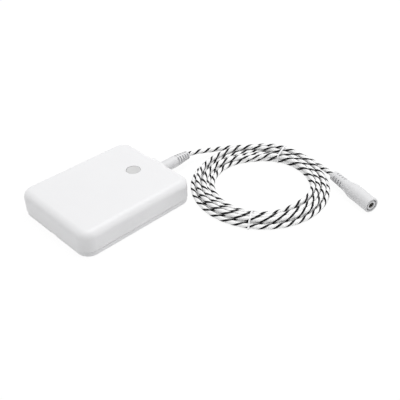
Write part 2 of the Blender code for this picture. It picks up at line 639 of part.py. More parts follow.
def make_jack():
    """The jack behind the short side: body, metal bush and two contact leaves."""
    middle = JACK_FRONT - JACK_LENGTH / 2
    size = (JACK_LENGTH, JACK_WIDTH, JACK_AXIS_HEIGHT + JACK_BORE + JACK_ROOF - BOARD_SEAT)
    block = block_mesh(size, BOARD_SEAT, (middle, 0))
    body = add_part("jack_body", finish_mesh(block, "jack_body", False), BLACK_PLASTIC)
    cut(body, tool_rod("jack_bore", JACK_BORE, PLUG_X - PIN_LENGTH - GAP, JACK_FRONT + OVERRUN,
                       (0, JACK_AXIS_HEIGHT), along="X"))
    long, high = JACK_WINDOW
    window_low = JACK_AXIS_HEIGHT - high / 2
    cut(body, tool_block("jack_window", (long, JACK_WIDTH + OVERRUN, high), window_low, (middle, 0)))
    for index, side in enumerate((-1, 1)):
        leaf_y = side * (JACK_BORE + GAP + JACK_LEAF / 2)
        leaf = block_mesh((long - 2 * GAP, JACK_LEAF, high - 2 * GAP), window_low + GAP, (middle, leaf_y))
        add_part(f"jack_contact_{index + 1}", finish_mesh(leaf, "leaf", False), NICKEL)
    face, edge, back = PAD_X - JACK_BUSH_SINK, JACK_BUSH_EDGE, JACK_FRONT + GAP
    turned("jack_bush", [
        (JACK_BORE, face), (JACK_BUSH_RADIUS - edge, face), (JACK_BUSH_RADIUS, face - edge),
        (JACK_BUSH_RADIUS, back), (JACK_BORE, back),
    ], NICKEL, place=(0, 0, JACK_AXIS_HEIGHT), turn=(0, math.pi / 2, 0), closed=True)


def grooved_relief(item, count, first, pitch, radius_at, spine, spine_turn):
    """Cut a strain relief's grooves into a grip, down to a core and clear of the spine through it."""
    name = item.name
    start, end = first - pitch, first + count * pitch
    reach = max(radius_at(start), radius_at(end)) + OVERRUN
    bm = bmesh.new()
    for index in range(count):
        ring = bmesh.ops.create_cone(bm, cap_ends=True, segments=ROUND_STEPS, radius1=reach, radius2=reach,
                                     depth=RELIEF_GROOVE_WIDTH)
        bmesh.ops.translate(bm, vec=(0, 0, first + index * pitch), verts=ring["verts"])
    rings = add_part(f"{name}_grooves", finish_mesh(bm, name), place=item.location, turn=item.rotation_euler,
                     cutter=True)
    core = turned(f"{name}_core", [
        (0.0, end), (radius_at(end) - RELIEF_GROOVE_DEPTH, end),
        (radius_at(start) - RELIEF_GROOVE_DEPTH, start), (0.0, start),
    ], cutter=True)
    bar = tool_block(f"{name}_spine", (4 * reach, spine, end - start), start)
    bar.rotation_euler = (0, 0, spine_turn)
    for tool in (core, bar):
        tool.parent = rings
        cut(rings, tool)
    cut(item, rings)


def make_plug():
    """The plug of the rope: a moulded grip with a ribbed strain relief, and its contact pin."""
    slope = (RELIEF_TIP_RADIUS - PLUG_RADIUS) / (PLUG_LENGTH - PLUG_RELIEF_START)
    grip = turned("plug_grip", [
        (0.0, PLUG_LENGTH), (RELIEF_TIP_RADIUS - GRIP_EDGE, PLUG_LENGTH),
        (RELIEF_TIP_RADIUS, PLUG_LENGTH - GRIP_EDGE), (PLUG_RADIUS, PLUG_RELIEF_START),
        (PLUG_RADIUS, GRIP_EDGE), (PLUG_RADIUS - GRIP_EDGE, 0.0), (0.0, 0.0),
    ], WHITE_VINYL, place=(PLUG_X, 0, JACK_AXIS_HEIGHT), turn=(0, math.pi / 2, 0))
    grooved_relief(grip, PLUG_GROOVE_COUNT, PLUG_FIRST_GROOVE, PLUG_GROOVE_PITCH,
                   lambda along: PLUG_RADIUS + slope * (along - PLUG_RELIEF_START),
                   PLUG_SPINE_WIDTH, PLUG_SPINE_TURN)

    pose = {"place": (PAD_X, 0, JACK_AXIS_HEIGHT), "turn": (0, -math.pi / 2, 0), "steps": PIN_STEPS}
    half = PIN_GROOVE_WIDTH / 2
    profile = [(0.0, PIN_LENGTH), (PIN_TIP_RADIUS, PIN_LENGTH - PIN_TIP_ROUND),
               (PIN_RADIUS, PIN_LENGTH - PIN_TIP)]
    for centre in reversed(PIN_GROOVES):
        profile += [(PIN_RADIUS, centre + half), (PIN_GROOVE_RADIUS, centre + half),
                    (PIN_GROOVE_RADIUS, centre - half), (PIN_RADIUS, centre - half)]
    turned("plug_pin", profile + [(PIN_RADIUS, 0.0), (0.0, 0.0)], NICKEL, **pose)
    inner = PIN_GROOVE_RADIUS + GAP
    for index, centre in enumerate(PIN_GROOVES):
        high, low = centre + half - GAP, centre - half + GAP
        ring = [(inner, high), (PIN_RADIUS, high), (PIN_RADIUS, low), (inner, low)]
        turned(f"plug_insulator_{index + 1}", ring, BLACK_PLASTIC, closed=True, **pose)


def make_rope():
    """The sensing rope: the lead from the plug, the tied coil and the tail to the far socket."""
    lead_start = np.array([PLUG_X + PLUG_LENGTH + GAP, 0, JACK_AXIS_HEIGHT])
    lead = [lead_start] + [np.array(p) * MM for p in LEAD_ROUTE]
    tube("cord_lead", smooth_route(lead, ROPE_STEP * 2 * ROPE_RADIUS), ROPE_RADIUS, ROPE_FIBRE)

    heading = np.array([math.cos(SOCKET_HEADING), math.sin(SOCKET_HEADING), 0.0])
    tail = [np.array(p) * MM for p in TAIL_ROUTE] + [np.array(SOCKET_PLACE) - GAP * heading]
    tube("cord_tail", smooth_route(tail, ROPE_STEP * 2 * ROPE_RADIUS), ROPE_RADIUS, ROPE_FIBRE)

    inner, outer = COIL_INNER + COIL_EDGE_ROUND, COIL_OUTER - COIL_EDGE_ROUND
    outline = round_corners(inner, outer, COIL_EDGE_ROUND, COIL_HEIGHT - COIL_EDGE_ROUND, COIL_EDGE_ROUND, 2)
    coil = turned("cord_coil", outline, ROPE_FIBRE, place=(*COIL_CENTRE, 0), steps=COIL_STEPS, closed=True)
    for index, degrees in enumerate(TIE_ANGLES):
        make_tie(coil, index, math.radians(degrees))


def round_corners(left, right, low, high, radius, steps):
    """A closed outline with round corners, whose corner arcs are centred on the sizes given."""
    corners = (((right, high), 90, 0), ((right, low), 0, -90),
               ((left, low), -90, -180), ((left, high), 180, 90))
    return [p for centre, start, end in corners for p in arc_points(centre, radius, start, end, steps)]


def make_tie(coil, index, angle):
    """A thin tie round the coil's turns, in a notch where it passes under them."""
    outward = np.array([math.cos(angle), math.sin(angle), 0.0])
    centre = np.array([*COIL_CENTRE, 0.0])
    middle = (COIL_INNER + COIL_OUTER) / 2
    notch_top = 2 * TIE_RADIUS + GAP
    across = COIL_OUTER - COIL_INNER + 2 * OVERRUN
    notch = tool_block(f"tie_notch_{index}", (across, TIE_NOTCH_WIDTH, 2 * notch_top), -notch_top)
    notch.location = centre + middle * outward
    notch.rotation_euler = (0, 0, angle)
    cut(coil, notch)
    side = (COIL_OUTER - COIL_INNER) / 2 + GAP + TIE_RADIUS - TIE_CORNER
    top = COIL_HEIGHT + GAP + TIE_RADIUS - TIE_CORNER
    loop = round_corners(-side, side, TIE_RADIUS + TIE_CORNER, top, TIE_CORNER, 3)
    points = [centre + (middle + across) * outward + np.array([0, 0, up]) for across, up in loop]
    tube(f"cord_tie_{index + 1}", points, TIE_RADIUS, TIE_WHITE, closed=True)


def make_socket():
    """The inline socket at the rope's end: moulded grip, insert, metal sleeve and contact."""
    pose = {"place": SOCKET_PLACE, "turn": (0, math.pi / 2, SOCKET_HEADING)}
    cavity = INSERT_RADIUS + GAP
    floor = SOCKET_LENGTH - INSERT_DEPTH
    slope = (SOCKET_RELIEF_RADIUS - SOCKET_RELIEF_TIP) / SOCKET_RELIEF_END
    grip = turned("socket_grip", [
        (0.0, floor), (cavity, floor), (cavity, SOCKET_LENGTH), (SOCKET_RADIUS - SOCKET_EDGE, SOCKET_LENGTH),
        (SOCKET_RADIUS, SOCKET_LENGTH - SOCKET_EDGE), (SOCKET_RADIUS, SOCKET_SHOULDER_END + SOCKET_EDGE),
        (SOCKET_RADIUS - GAP, SOCKET_SHOULDER_END),
        (SOCKET_RELIEF_RADIUS + GAP, SOCKET_RELIEF_END + SOCKET_EDGE),
        (SOCKET_RELIEF_RADIUS, SOCKET_RELIEF_END), (SOCKET_RELIEF_TIP, GRIP_EDGE),
        (SOCKET_RELIEF_TIP - GRIP_EDGE, 0.0), (0.0, 0.0),
    ], WHITE_VINYL, steps=GRIP_STEPS, **pose)
    grooved_relief(grip, SOCKET_GROOVE_COUNT, SOCKET_FIRST_GROOVE, SOCKET_GROOVE_PITCH,
                   lambda along: SOCKET_RELIEF_TIP + slope * along, SOCKET_SPINE_WIDTH, SOCKET_SPINE_TURN)

    front, back = SOCKET_LENGTH - INSERT_SINK, floor + GAP
    sleeve_outer = SOCKET_BORE + SLEEVE_WALL
    hollow = sleeve_outer + GAP
    hollow_end = back + CONTACT_WALL
    neck = front - SLEEVE_SINK
    turned("socket_insert", [
        (0.0, hollow_end), (hollow, hollow_end), (hollow, neck), (SOCKET_BORE, neck), (SOCKET_BORE, front),
        (INSERT_NOSE_RADIUS, front), (INSERT_NOSE_RADIUS, front - INSERT_NOSE),
        (INSERT_RADIUS, front - INSERT_NOSE), (INSERT_RADIUS, back), (0.0, back),
    ], WHITE_VINYL, **pose)
    cup_low = hollow_end + GAP
    cup_high = cup_low + CONTACT_LENGTH
    sleeve_back = cup_high + GAP
    turned("socket_sleeve", [
        (SOCKET_BORE, neck - GAP), (sleeve_outer, neck - GAP),
        (sleeve_outer, sleeve_back), (SOCKET_BORE, sleeve_back),
    ], NICKEL, closed=True, **pose)
    cup_bore = sleeve_outer - CONTACT_WALL
    turned("socket_contact", [
        (0.0, cup_low + CONTACT_WALL), (cup_bore, cup_low + CONTACT_WALL), (cup_bore, cup_high),
        (sleeve_outer, cup_high), (sleeve_outer, cup_low), (0.0, cup_low),
    ], NICKEL, **pose)


make_top_cover()
make_base_cover()
make_seal()
make_button()
make_switch()
make_board()
make_cells()
make_jack()
make_plug()
make_rope()
make_socket()
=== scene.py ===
"""Water leak sensor with a coiled sensing rope, dressed on its CAD frame.

A flat white two-part housing with a grey push button. A white rope with two black threads
wound round it plugs into the short side, lies in a tied coil and ends in an inline socket.
"""
import math

import bmesh
import bpy
import numpy as np
from bpy.props import FloatProperty, FloatVectorProperty, IntProperty, PointerProperty
from mathutils import Matrix, Vector


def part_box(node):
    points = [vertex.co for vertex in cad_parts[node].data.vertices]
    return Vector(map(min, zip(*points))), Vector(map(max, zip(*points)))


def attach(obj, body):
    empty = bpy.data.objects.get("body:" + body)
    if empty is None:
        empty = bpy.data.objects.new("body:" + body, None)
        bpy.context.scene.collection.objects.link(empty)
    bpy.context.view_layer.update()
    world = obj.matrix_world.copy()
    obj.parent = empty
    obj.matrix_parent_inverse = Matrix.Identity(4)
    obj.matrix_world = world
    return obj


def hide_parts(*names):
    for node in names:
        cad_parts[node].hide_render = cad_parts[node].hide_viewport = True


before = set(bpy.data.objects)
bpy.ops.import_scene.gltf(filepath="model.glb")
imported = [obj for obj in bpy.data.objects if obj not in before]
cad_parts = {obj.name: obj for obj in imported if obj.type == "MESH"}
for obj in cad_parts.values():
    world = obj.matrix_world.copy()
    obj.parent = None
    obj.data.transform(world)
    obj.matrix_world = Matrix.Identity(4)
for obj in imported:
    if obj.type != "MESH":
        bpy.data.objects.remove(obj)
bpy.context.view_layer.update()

bl_info = {
    "name": "Water Leak Sensor",
    "version": (1, 0, 0),
    "blender": (4, 5, 0),
    "location": "View3D > Sidebar > Leak Sensor",
    "description": "Makes a water leak sensor with a coiled sensing rope, piece by piece",
    "category": "Add Mesh",
}

MM = 0.001
COVER_LOW, COVER_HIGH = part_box("top_cover")
PIN_LOW, PIN_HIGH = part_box("plug_pin")
BUTTON_LOW, BUTTON_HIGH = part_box("button_cap")

# Housing, as in the part's source
LENGTH = 76.0 * MM
WIDTH = COVER_HIGH.y - COVER_LOW.y
HEIGHT = COVER_HIGH.z
SHIFT_X = COVER_LOW.x + LENGTH / 2
PLAN_CORNER = 7.5 * MM
TOP_EDGE_ROUND = 4.6 * MM
WALL = 2.0 * MM
CEILING = HEIGHT - WALL
GUIDE_INNER = 5.7 * MM
GUIDE_OUTER = 6.6 * MM
GUIDE_DEPTH = 1.8 * MM
HOLE_RADIUS = 4.34 * MM
HOLE_LIP = 0.07 * MM
BUTTON_X = (BUTTON_LOW.x + BUTTON_HIGH.x) / 2
PAD_X = COVER_HIGH.x
PAD_LOW = COVER_LOW.z + 0.3 * MM
PAD_TOP = 13.2 * MM
PAD_WIDTH = 13.0 * MM
PAD_DEPTH = WALL / 2 + 1.1 * MM
PAD_CORNER = 3.0 * MM
PAD_EDGE = 0.4 * MM
JACK_Z = (PIN_LOW.z + PIN_HIGH.z) / 2
JACK_HOLE = 2.9 * MM
HOOK_POCKET = (8.6 * MM, 2.0 * MM, 1.6 * MM)
HOOK_X = 21.0 * MM
HOOK_Y = WIDTH / 2 - WALL - 0.3 * MM
HOOK_Z = 5.5 * MM

# Plug and inline socket, in millimetres from the end that comes first along the rope. A profile is
# radii and places along the axis, and its first points are the skin that the windows pierce. Windows
# are their first middle, pitch and number, and a spine is its width and its turn round the axis
PLUG_PROFILE = (
    (0, 0), (3.25, 0), (3.6, 0.35), (3.6, 12.4), (3.57, 13.0), (2.62, 23.0), (2.3, 23.4), (0, 23.4),
)
PLUG_WINDOWS = (13.7, 2.0, 5)
PLUG_SPINE = (0.9, math.radians(17.0))
PLUG_START = (39.4, 0.0, 6.6)
SOCKET_PROFILE = (
    (0, 0), (2.65, 0), (3.0, 0.35), (3.48, 13.0), (3.56, 13.9), (3.8, 14.4), (4.3, 16.9),
    (4.36, 17.55), (4.5, 17.7), (4.6, 18.2), (4.6, 34.4), (4.42, 34.83), (4.0, 35.0), (3.6, 35.0),
    (3.6, 20.0), (0, 20.0),
)
SOCKET_WINDOWS = (3.4, 2.2, 4)
SOCKET_SPINE = (1.7, math.radians(30.0))
SOCKET_START = (110.9, -77.9, 4.6)
SOCKET_HEADING = math.radians(-106.5)
SKIN_POINTS = 8
CUT_ABOVE_SKIN = 0.6

# Rope: the places of its route in millimetres, from the plug to the socket
LEAD_ROUTE = (
    (61.0, 0.0, 6.6), (63.1, 0.0, 6.6), (65.3, -0.2, 6.5), (68.5, -0.8, 6.2), (72.0, -1.6, 5.7),
    (75.8, -2.5, 4.9), (80.2, -3.5, 4.0), (84.6, -4.7, 3.2), (89.2, -6.3, 2.5), (93.8, -8.5, 2.0),
    (98.3, -11.4, 1.6), (102.6, -15.0, 1.47),
)
TAIL_ROUTE = (
    (118.86, -49.3, 1.47), (118.78, -53.2, 1.47), (118.22, -58.0, 1.5), (117.1, -63.0, 1.8),
    (115.4, -67.8, 2.5), (113.5, -72.1, 3.5), (111.9, -75.4, 4.3), (110.9, -77.9, 4.6),
    (110.3, -79.8, 4.6),
)
ROUTE_SPACING = 0.8 * MM

# Coil: distances in millimetres and angles in degrees, which fall because the turns run clockwise.
# The upper turns go inwards. At the inner edge the strand rides on the floor's second strand, lands
# inside it between the LANDING angles, and then steps out by one strand in each floor turn
COIL_CENTRE = (75.4, -50.0)
TURN_STEP = 4.0
TOUCHING = 2.88
STRAND_PITCH = 2.91
FLOOR_STRAND = 1.47
FLOOR_TURNS = 5
INNER_STRAND = 28.6
STEP_OUT_FROM = 54.5
STEP_OUT_OVER = 48.0
TAIL_LEAVES = -16.0
UPPER_TURNS = (
    (45.5, 43.8), (36.4, 43.4), (25.3, 42.3), (11, 40.6), (-2, 39.5), (-32, 38.0), (-63, 37.7),
    (-92, 37.7), (-141, 37.6), (-180, 37.5), (-217, 37.0), (-251, 37.5), (-275, 38.5), (-299, 40.1),
    (-319, 39.0), (-334, 36.7), (-362, 34.6), (-403, 34.4), (-452, 34.7), (-496, 34.6),
    (-540, 34.3), (-577, 33.8), (-601, 33.0), (-626, 31.2), (-656, 28.8),
)
RIDE_OUT_FROM = STEP_OUT_FROM - 720.0
RIDE_BEYOND = INNER_STRAND + 0.3
LANDING = (-780.0, -836.0)
COIL_END = -2514.0

# Ties, in millimetres apart from the tail's size
TIE_HALF_WIDTH = 0.5
TIE_HALF_THICK = 0.17
TIE_REACH = 1.5 + TIE_HALF_THICK
TIE_TAIL = (1.9 * MM, 1.0 * MM, 0.9 * MM)
TIE_TAIL_OUT = 0.5
TIE_TAIL_UP = 1.6

# Camera and floor
LENS = 56.58
LENS_SHIFT = (-0.04, 0.0125)
CAMERA_TARGET = (36.3, -51.3, 8.0)
LAMP_TARGET = (0.03, -0.03, 0.0)
FLOOR_DROP = 0.15 * MM


def at(x, y, z):
    """A point of the object's own millimetres, in the frame's metres."""
    return np.array([x * MM + SHIFT_X, y * MM, z * MM])


class LeakSensorRope(bpy.types.PropertyGroup):
    """Sizes and colours of the sensing rope."""
    radius: FloatProperty(name="Rope radius", description="Radius of the white braid",
                          default=1.41 * MM, unit="LENGTH")
    thread_pitch: FloatProperty(name="Thread pitch", description="Rope length of a thread's turn",
                                default=14.6 * MM, unit="LENGTH")
    thread_width: FloatProperty(name="Thread width", description="Width of a black thread",
                                default=1.5 * MM, unit="LENGTH")
    thread_proud: FloatProperty(name="Thread height",
                                description="How far a thread stands out of the braid",
                                default=0.05 * MM, unit="LENGTH")
    thread_count: IntProperty(name="Threads", description="Number of black threads", default=2,
                              min=1, max=4)
    thread_turn: FloatProperty(name="Thread start", description="Where on the rope the first thread starts",
                               default=0.0, subtype="ANGLE")
    white: FloatVectorProperty(name="Braid colour", description="Colour of the white braid",
                               default=(0.95, 0.95, 0.95), subtype="COLOR")
    black: FloatVectorProperty(name="Thread colour", description="Colour of the wound threads",
                               default=(0.006, 0.006, 0.007), subtype="COLOR")
    tie: FloatVectorProperty(name="Tie colour", description="Colour of the two ties",
                             default=(0.86, 0.86, 0.87), subtype="COLOR")


class LeakSensorHousing(bpy.types.PropertyGroup):
    """Sizes and colours of the housing, the button and the mouldings on the rope."""
    shell: FloatVectorProperty(name="Shell colour", description="Colour of the two covers",
                               default=(0.80, 0.80, 0.81), subtype="COLOR")
    button: FloatVectorProperty(name="Button colour", description="Colour of the push button",
                                default=(0.58, 0.58, 0.58), subtype="COLOR")
    vinyl: FloatVectorProperty(name="Moulding colour", description="Colour of the plug and the socket",
                               default=(0.69, 0.69, 0.70), subtype="COLOR")
    edge: FloatProperty(name="Edge rounding", description="Rounding of the covers' small edges",
                        default=0.25 * MM, unit="LENGTH")
    window_width: FloatProperty(name="Relief window width",
                                description="Width of the strain reliefs' windows",
                                default=0.95 * MM, unit="LENGTH")
    window_depth: FloatProperty(name="Relief window depth",
                                description="Depth of the strain reliefs' windows",
                                default=1.2 * MM, unit="LENGTH")
    rib_edge: FloatProperty(name="Rib rounding", description="Rounding of the strain reliefs' edges",
                            default=0.12 * MM, unit="LENGTH")


class LeakSensorStage(bpy.types.PropertyGroup):
    """The floor, the lights and the camera."""
    azimuth: FloatProperty(name="Azimuth", description="Camera direction, 0 looks along +Y",
                           default=math.radians(-45.5), subtype="ANGLE")
    elevation: FloatProperty(name="Elevation", description="Camera height above the horizon",
                             default=math.radians(36.67), subtype="ANGLE")
    distance: FloatProperty(name="Distance", description="From the camera to the spot it looks at",
                            default=351.0 * MM, unit="LENGTH")
    sky: FloatProperty(name="Sky light", description="Strength of the light from all round", default=0.435)
    lamp: FloatProperty(name="Lamp", description="Power of the lamp overhead, in watts", default=6.1)
    side_lamp: FloatProperty(name="Side lamps", description="Power of each side lamp, in watts",
                             default=1.25)
    floor: FloatVectorProperty(name="Floor colour", description="Colour of the floor",
                               default=(0.8, 0.8, 0.8), subtype="COLOR")


def join(tree, value, socket):
    """Feed an input with a link from a socket, or set it to a constant."""
    if isinstance(value, bpy.types.NodeSocket):
        tree.links.new(value, socket)
    else:
        socket.default_value = value


def add_node(tree, kind, inputs=(), **options):
    """Add one node, set its options, and feed its inputs, given by name or place."""
    node = tree.nodes.new(kind)
    for name, value in options.items():
        setattr(node, name, value)
    for key, value in dict(inputs).items():
        join(tree, value, node.inputs[key])
    return node


def math_node(tree, operation, *values):
    """A math node's result."""
    return add_node(tree, "ShaderNodeMath", enumerate(values), operation=operation).outputs[0]


def vector_math(tree, operation, *values):
    """A vector math node's result."""
    return add_node(tree, "ShaderNodeVectorMath", enumerate(values), operation=operation).outputs[0]


def scaled(tree, vector, factor):
    """A vector times a number."""
    inputs = {"Vector": vector, "Scale": factor}
    return add_node(tree, "ShaderNodeVectorMath", inputs, operation="SCALE").outputs[0]


def noise(tree, where, scale, detail=2.0, **inputs):
    """A noise texture's level."""
    inputs.update({"Vector": where, "Scale": scale, "Detail": detail})
    return add_node(tree, "ShaderNodeTexNoise", inputs).outputs["Fac"]


def varied(tree, level, amount, middle):
    """A value that swings round its middle with a level from 0 to 1."""
    swing = math_node(tree, "SUBTRACT", level, 0.5)
    return math_node(tree, "MULTIPLY_ADD", swing, amount, middle)


def new_group(name, kind, inputs, outputs):
    """A node group with its named sockets, and its input and output nodes."""
    tree = bpy.data.node_groups.new(name, kind)
    for label, socket, default in inputs:
        item = tree.interface.new_socket(label, in_out="INPUT", socket_type=socket)
        if default is not None:
            item.default_value = default
    for label, socket in outputs:
        tree.interface.new_socket(label, in_out="OUTPUT", socket_type=socket)
    return tree, tree.nodes.new("NodeGroupInput").outputs, tree.nodes.new("NodeGroupOutput").inputs


def effect_group(name, where, settings):
    """A new shader group that finishes a surface, from coordinates, a colour and named numbers."""
    inputs = [(where, "NodeSocketVector", None), ("Color", "NodeSocketColor", None)]
    inputs += [(label, "NodeSocketFloat", value) for label, value in settings.items()]
    outputs = [("Color", "NodeSocketColor"), ("Roughness", "NodeSocketFloat"), ("Height", "NodeSocketFloat")]
    return new_group(name, "ShaderNodeTree", inputs, outputs)


def shared(name, build):
    """An effect's group, made when it is first asked for."""
    return bpy.data.node_groups.get(name) or build(name)


def moulded_grain(name):
    """Moulded plastic: a fine spark-eroded grain, slow shade changes and faint handling marks."""
    tree, given, result = effect_group(
        name, "Vector", {"Grain size": 0.0004, "Roughness": 0.4, "Variation": 0.03})
    where = given["Vector"]
    fine = noise(tree, where, math_node(tree, "DIVIDE", 1.0, given["Grain size"]), Roughness=0.6)
    slow = noise(tree, where, 55.0, 3.0)
    marks = noise(tree, where, 260.0, 4.0, Roughness=0.7, Distortion=0.8)
    shade = varied(tree, fine, 0.03, varied(tree, slow, given["Variation"], 1.0))
    tree.links.new(scaled(tree, given["Color"], shade), result["Color"])
    tree.links.new(varied(tree, marks, 0.14, given["Roughness"]), result["Roughness"])
    tree.links.new(fine, result["Height"])
    return tree


def round_braid(name):
    """A round braid on a UV map: crossing yarns whose height shows at their edges, with painted shade
    darkening the gaps between them.
    """
    tree, given, result = effect_group(
        name, "UV", {"Yarns round": 8.0, "Yarns along": 6.0, "Shade": 0.12})
    split = add_node(tree, "ShaderNodeSeparateXYZ", {"Vector": given["UV"]})
    round_part = math_node(tree, "MULTIPLY", split.outputs["X"], given["Yarns round"])
    along_part = math_node(tree, "MULTIPLY", split.outputs["Y"], given["Yarns along"])
    waves = []
    for operation in ("ADD", "SUBTRACT"):
        phase = math_node(tree, "MULTIPLY", math_node(tree, operation, round_part, along_part), 2 * math.pi)
        waves.append(math_node(tree, "ABSOLUTE", math_node(tree, "SINE", phase)))
    over = math_node(tree, "MAXIMUM", waves[0], waves[1])
    under = math_node(tree, "MINIMUM", waves[0], waves[1])
    height = math_node(tree, "MULTIPLY_ADD", under, 0.45, over)
    fluff = noise(tree, given["UV"], 34.0, 3.0)
    # Painted shade: the colour darkens where both yarns dip, in the gaps between them, by the Shade amount,
    # on top of a random tone from the fluff
    painted_gap_shade = math_node(tree, "MULTIPLY", math_node(tree, "SUBTRACT", 1.0, over), given["Shade"])
    shade = math_node(tree, "SUBTRACT", varied(tree, fluff, 0.06, 1.0), painted_gap_shade)
    tree.links.new(scaled(tree, given["Color"], shade), result["Color"])
    tree.links.new(math_node(tree, "MULTIPLY_ADD", fluff, 0.2, 0.55), result["Roughness"])
    tree.links.new(math_node(tree, "MULTIPLY_ADD", fluff, 0.3, height), result["Height"])
    return tree


def worn_metal(name):
    """Plated or rolled metal: fine scratches in the roughness and a slow tarnish."""
    tree, given, result = effect_group(name, "Vector", {"Roughness": 0.25, "Tarnish": 0.12})
    stretch = add_node(tree, "ShaderNodeMapping",
                       {"Vector": given["Vector"], "Scale": (300.0, 300.0, 5000.0)})
    lines = noise(tree, stretch.outputs[0], 1.0, 3.0)
    bloom = noise(tree, given["Vector"], 420.0, 4.0)
    shade = math_node(tree, "SUBTRACT", 1.0, math_node(tree, "MULTIPLY", bloom, given["Tarnish"]))
    tree.links.new(scaled(tree, given["Color"], shade), result["Color"])
    tree.links.new(math_node(tree, "MULTIPLY_ADD", lines, 0.2, given["Roughness"]), result["Roughness"])
    tree.links.new(lines, result["Height"])
    return tree


def finish_material(name, group, coordinates, values, bump, distance, **constants):
    """A material whose colour, roughness and bump come from one group, with fixed shader values."""
    material = bpy.data.materials.new(name)
    material.use_nodes = True
    tree = material.node_tree
    shader = tree.nodes["Principled BSDF"]
    where = add_node(tree, "ShaderNodeTexCoord").outputs[coordinates]
    effect = add_node(tree, "ShaderNodeGroup", node_tree=group)
    join(tree, where, effect.inputs[0])
    for key, value in values.items():
        join(tree, (*value, 1.0) if key == "Color" else value, effect.inputs[key])
    relief = add_node(tree, "ShaderNodeBump", {"Strength": bump, "Distance": distance,
                                               "Height": effect.outputs["Height"]})
    tree.links.new(effect.outputs["Color"], shader.inputs["Base Color"])
    tree.links.new(effect.outputs["Roughness"], shader.inputs["Roughness"])
    tree.links.new(relief.outputs["Normal"], shader.inputs["Normal"])
    for key, value in constants.items():
        shader.inputs[key.replace("_", " ")].default_value = value
    return material


def plastic(name, colour, roughness=0.4, grain=0.0004, bump=0.12, variation=0.03, **constants):
    """A moulded plastic."""
    values = {"Color": colour, "Grain size": grain, "Roughness": roughness, "Variation": variation}
    return finish_material(name, shared("moulded_grain", moulded_grain), "Object", values, bump, 0.03 * MM,
                           **constants)


def metal(name, colour, roughness=0.25):
    """A metal."""
    values = {"Color": colour, "Roughness": roughness, "Tarnish": 0.12}
    return finish_material(name, shared("worn_metal", worn_metal), "Object", values, 0.1, 0.02 * MM,
                           Metallic=1.0)


def add_object(name, data):
    """Put a mesh, curve, camera or lamp into the scene."""
    item = bpy.data.objects.new(name, data)
    bpy.context.scene.collection.objects.link(item)
    return item


def new_object(name, bm):
    """Put a bmesh into the scene as an object at the origin."""
    data = bpy.data.meshes.new(name)
    bm.to_mesh(data)
    bm.free()
    return add_object(name, data)


def result_mesh(item):
    """The mesh of an object with its modifiers."""
    bpy.context.view_layer.update()
    graph = bpy.context.evaluated_depsgraph_get()
    return bpy.data.meshes.new_from_object(item.evaluated_get(graph))


def flatten(item):
    """Turn an object with its modifiers into a plain mesh."""
    data = result_mesh(item)
    item.modifiers.clear()
    item.data = data
    return item


def carve(item, tool, operation="DIFFERENCE"):
    """Cut an object with a tool object, or join the tool on, and remove the tool."""
    step = item.modifiers.new("carve", "BOOLEAN")
    step.operation = operation
    step.object = tool
    step.solver = "EXACT"
    flatten(item)
    bpy.data.objects.remove(tool)


def soften(item, width):
    """Round an object's sharp edges a little, and shade it smooth with flat faces kept flat."""
    item.data.shade_smooth()
    if width:
        bevel = item.modifiers.new("edge", "BEVEL")
        bevel.width = width
        bevel.segments = 2
        bevel.limit_method = "ANGLE"
        bevel.angle_limit = math.radians(35)
    flatten(item)
    item.data.set_sharp_from_angle(angle=math.radians(40))
    shade = item.modifiers.new("shade", "WEIGHTED_NORMAL")
    shade.keep_sharp = True
    shade.weight = 100
    return flatten(item)


def dress(item, material, slot_name, *nodes, body="housing"):
    """Give a piece its material, let it ride, and let it stand for CAD nodes. The slot name is not used."""
    item.data.materials.clear()
    item.data.materials.append(material)
    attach(item, body)
    if nodes:
        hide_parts(*nodes)
    return item


def node_copy(name, node):
    """A merged copy of a CAD node's mesh, with the triangles of its flat faces joined."""
    bm = bmesh.new()
    bm.from_mesh(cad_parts[node].data)
    bmesh.ops.remove_doubles(bm, verts=bm.verts, dist=1e-6)
    bmesh.ops.dissolve_limit(bm, angle_limit=math.radians(0.5), verts=bm.verts, edges=bm.edges)
    return new_object(name, bm)


def smooth_route(points, spacing):
    """Points spaced evenly along a smooth curve through the points given."""
    between = 12
    ends = [2 * points[0] - points[1], *points, 2 * points[-1] - points[-2]]
    dense = []
    for a, b, c, d in zip(ends, ends[1:], ends[2:], ends[3:]):
        for t in np.linspace(0, 1, between, endpoint=False):
            dense.append(0.5 * (2 * b + (c - a) * t + (2 * a - 5 * b + 4 * c - d) * t * t
                                + (3 * b - a - 3 * c + d) * t ** 3))
    dense.append(points[-1])
    dense = np.array(dense)
    run = np.concatenate([[0], np.cumsum(np.linalg.norm(np.diff(dense, axis=0), axis=1))])
    stops = np.linspace(0, run[-1], max(2, round(run[-1] / spacing)) + 1)
    return np.stack([np.interp(stops, run, dense[:, axis]) for axis in range(3)], axis=-1)


def eased(share):
    """A share from 0 to 1 with a soft start and end."""
    return share * share * (3 - 2 * share)


def smoothed(values, reach):
    """Values averaged with their neighbours on both sides."""
    count = 2 * reach + 1
    return np.convolve(np.pad(values, reach, mode="edge"), np.ones(count) / count, mode="valid")


def step_out(degrees):
    """How far a strand has stepped out to the next turn, from 0 to 1, at an angle of the coil."""
    return eased(min(1.0, ((STEP_OUT_FROM - degrees) % 360.0) / STEP_OUT_OVER))


def floor_strands(degrees):
    """Distances from the coil's centre of the strands that lie on the floor at an angle."""
    step = step_out(degrees) % 1.0
    strands = [INNER_STRAND + STRAND_PITCH * (turn + step) for turn in range(FLOOR_TURNS)]
    if TAIL_LEAVES < (degrees + 180.0) % 360.0 - 180.0 < STEP_OUT_FROM - STEP_OUT_OVER:
        strands.append(INNER_STRAND + STRAND_PITCH * FLOOR_TURNS)
    return strands


def resting_height(radius, degrees, inner=0.0):
    """The height of a strand that rests on the floor strands farther out than a limit."""
    heights = [FLOOR_STRAND]
    for strand in floor_strands(degrees):
        aside = abs(radius - strand)
        if strand > inner and aside < TOUCHING:
            heights.append(FLOOR_STRAND + math.sqrt(TOUCHING * TOUCHING - aside * aside))
    return max(heights)


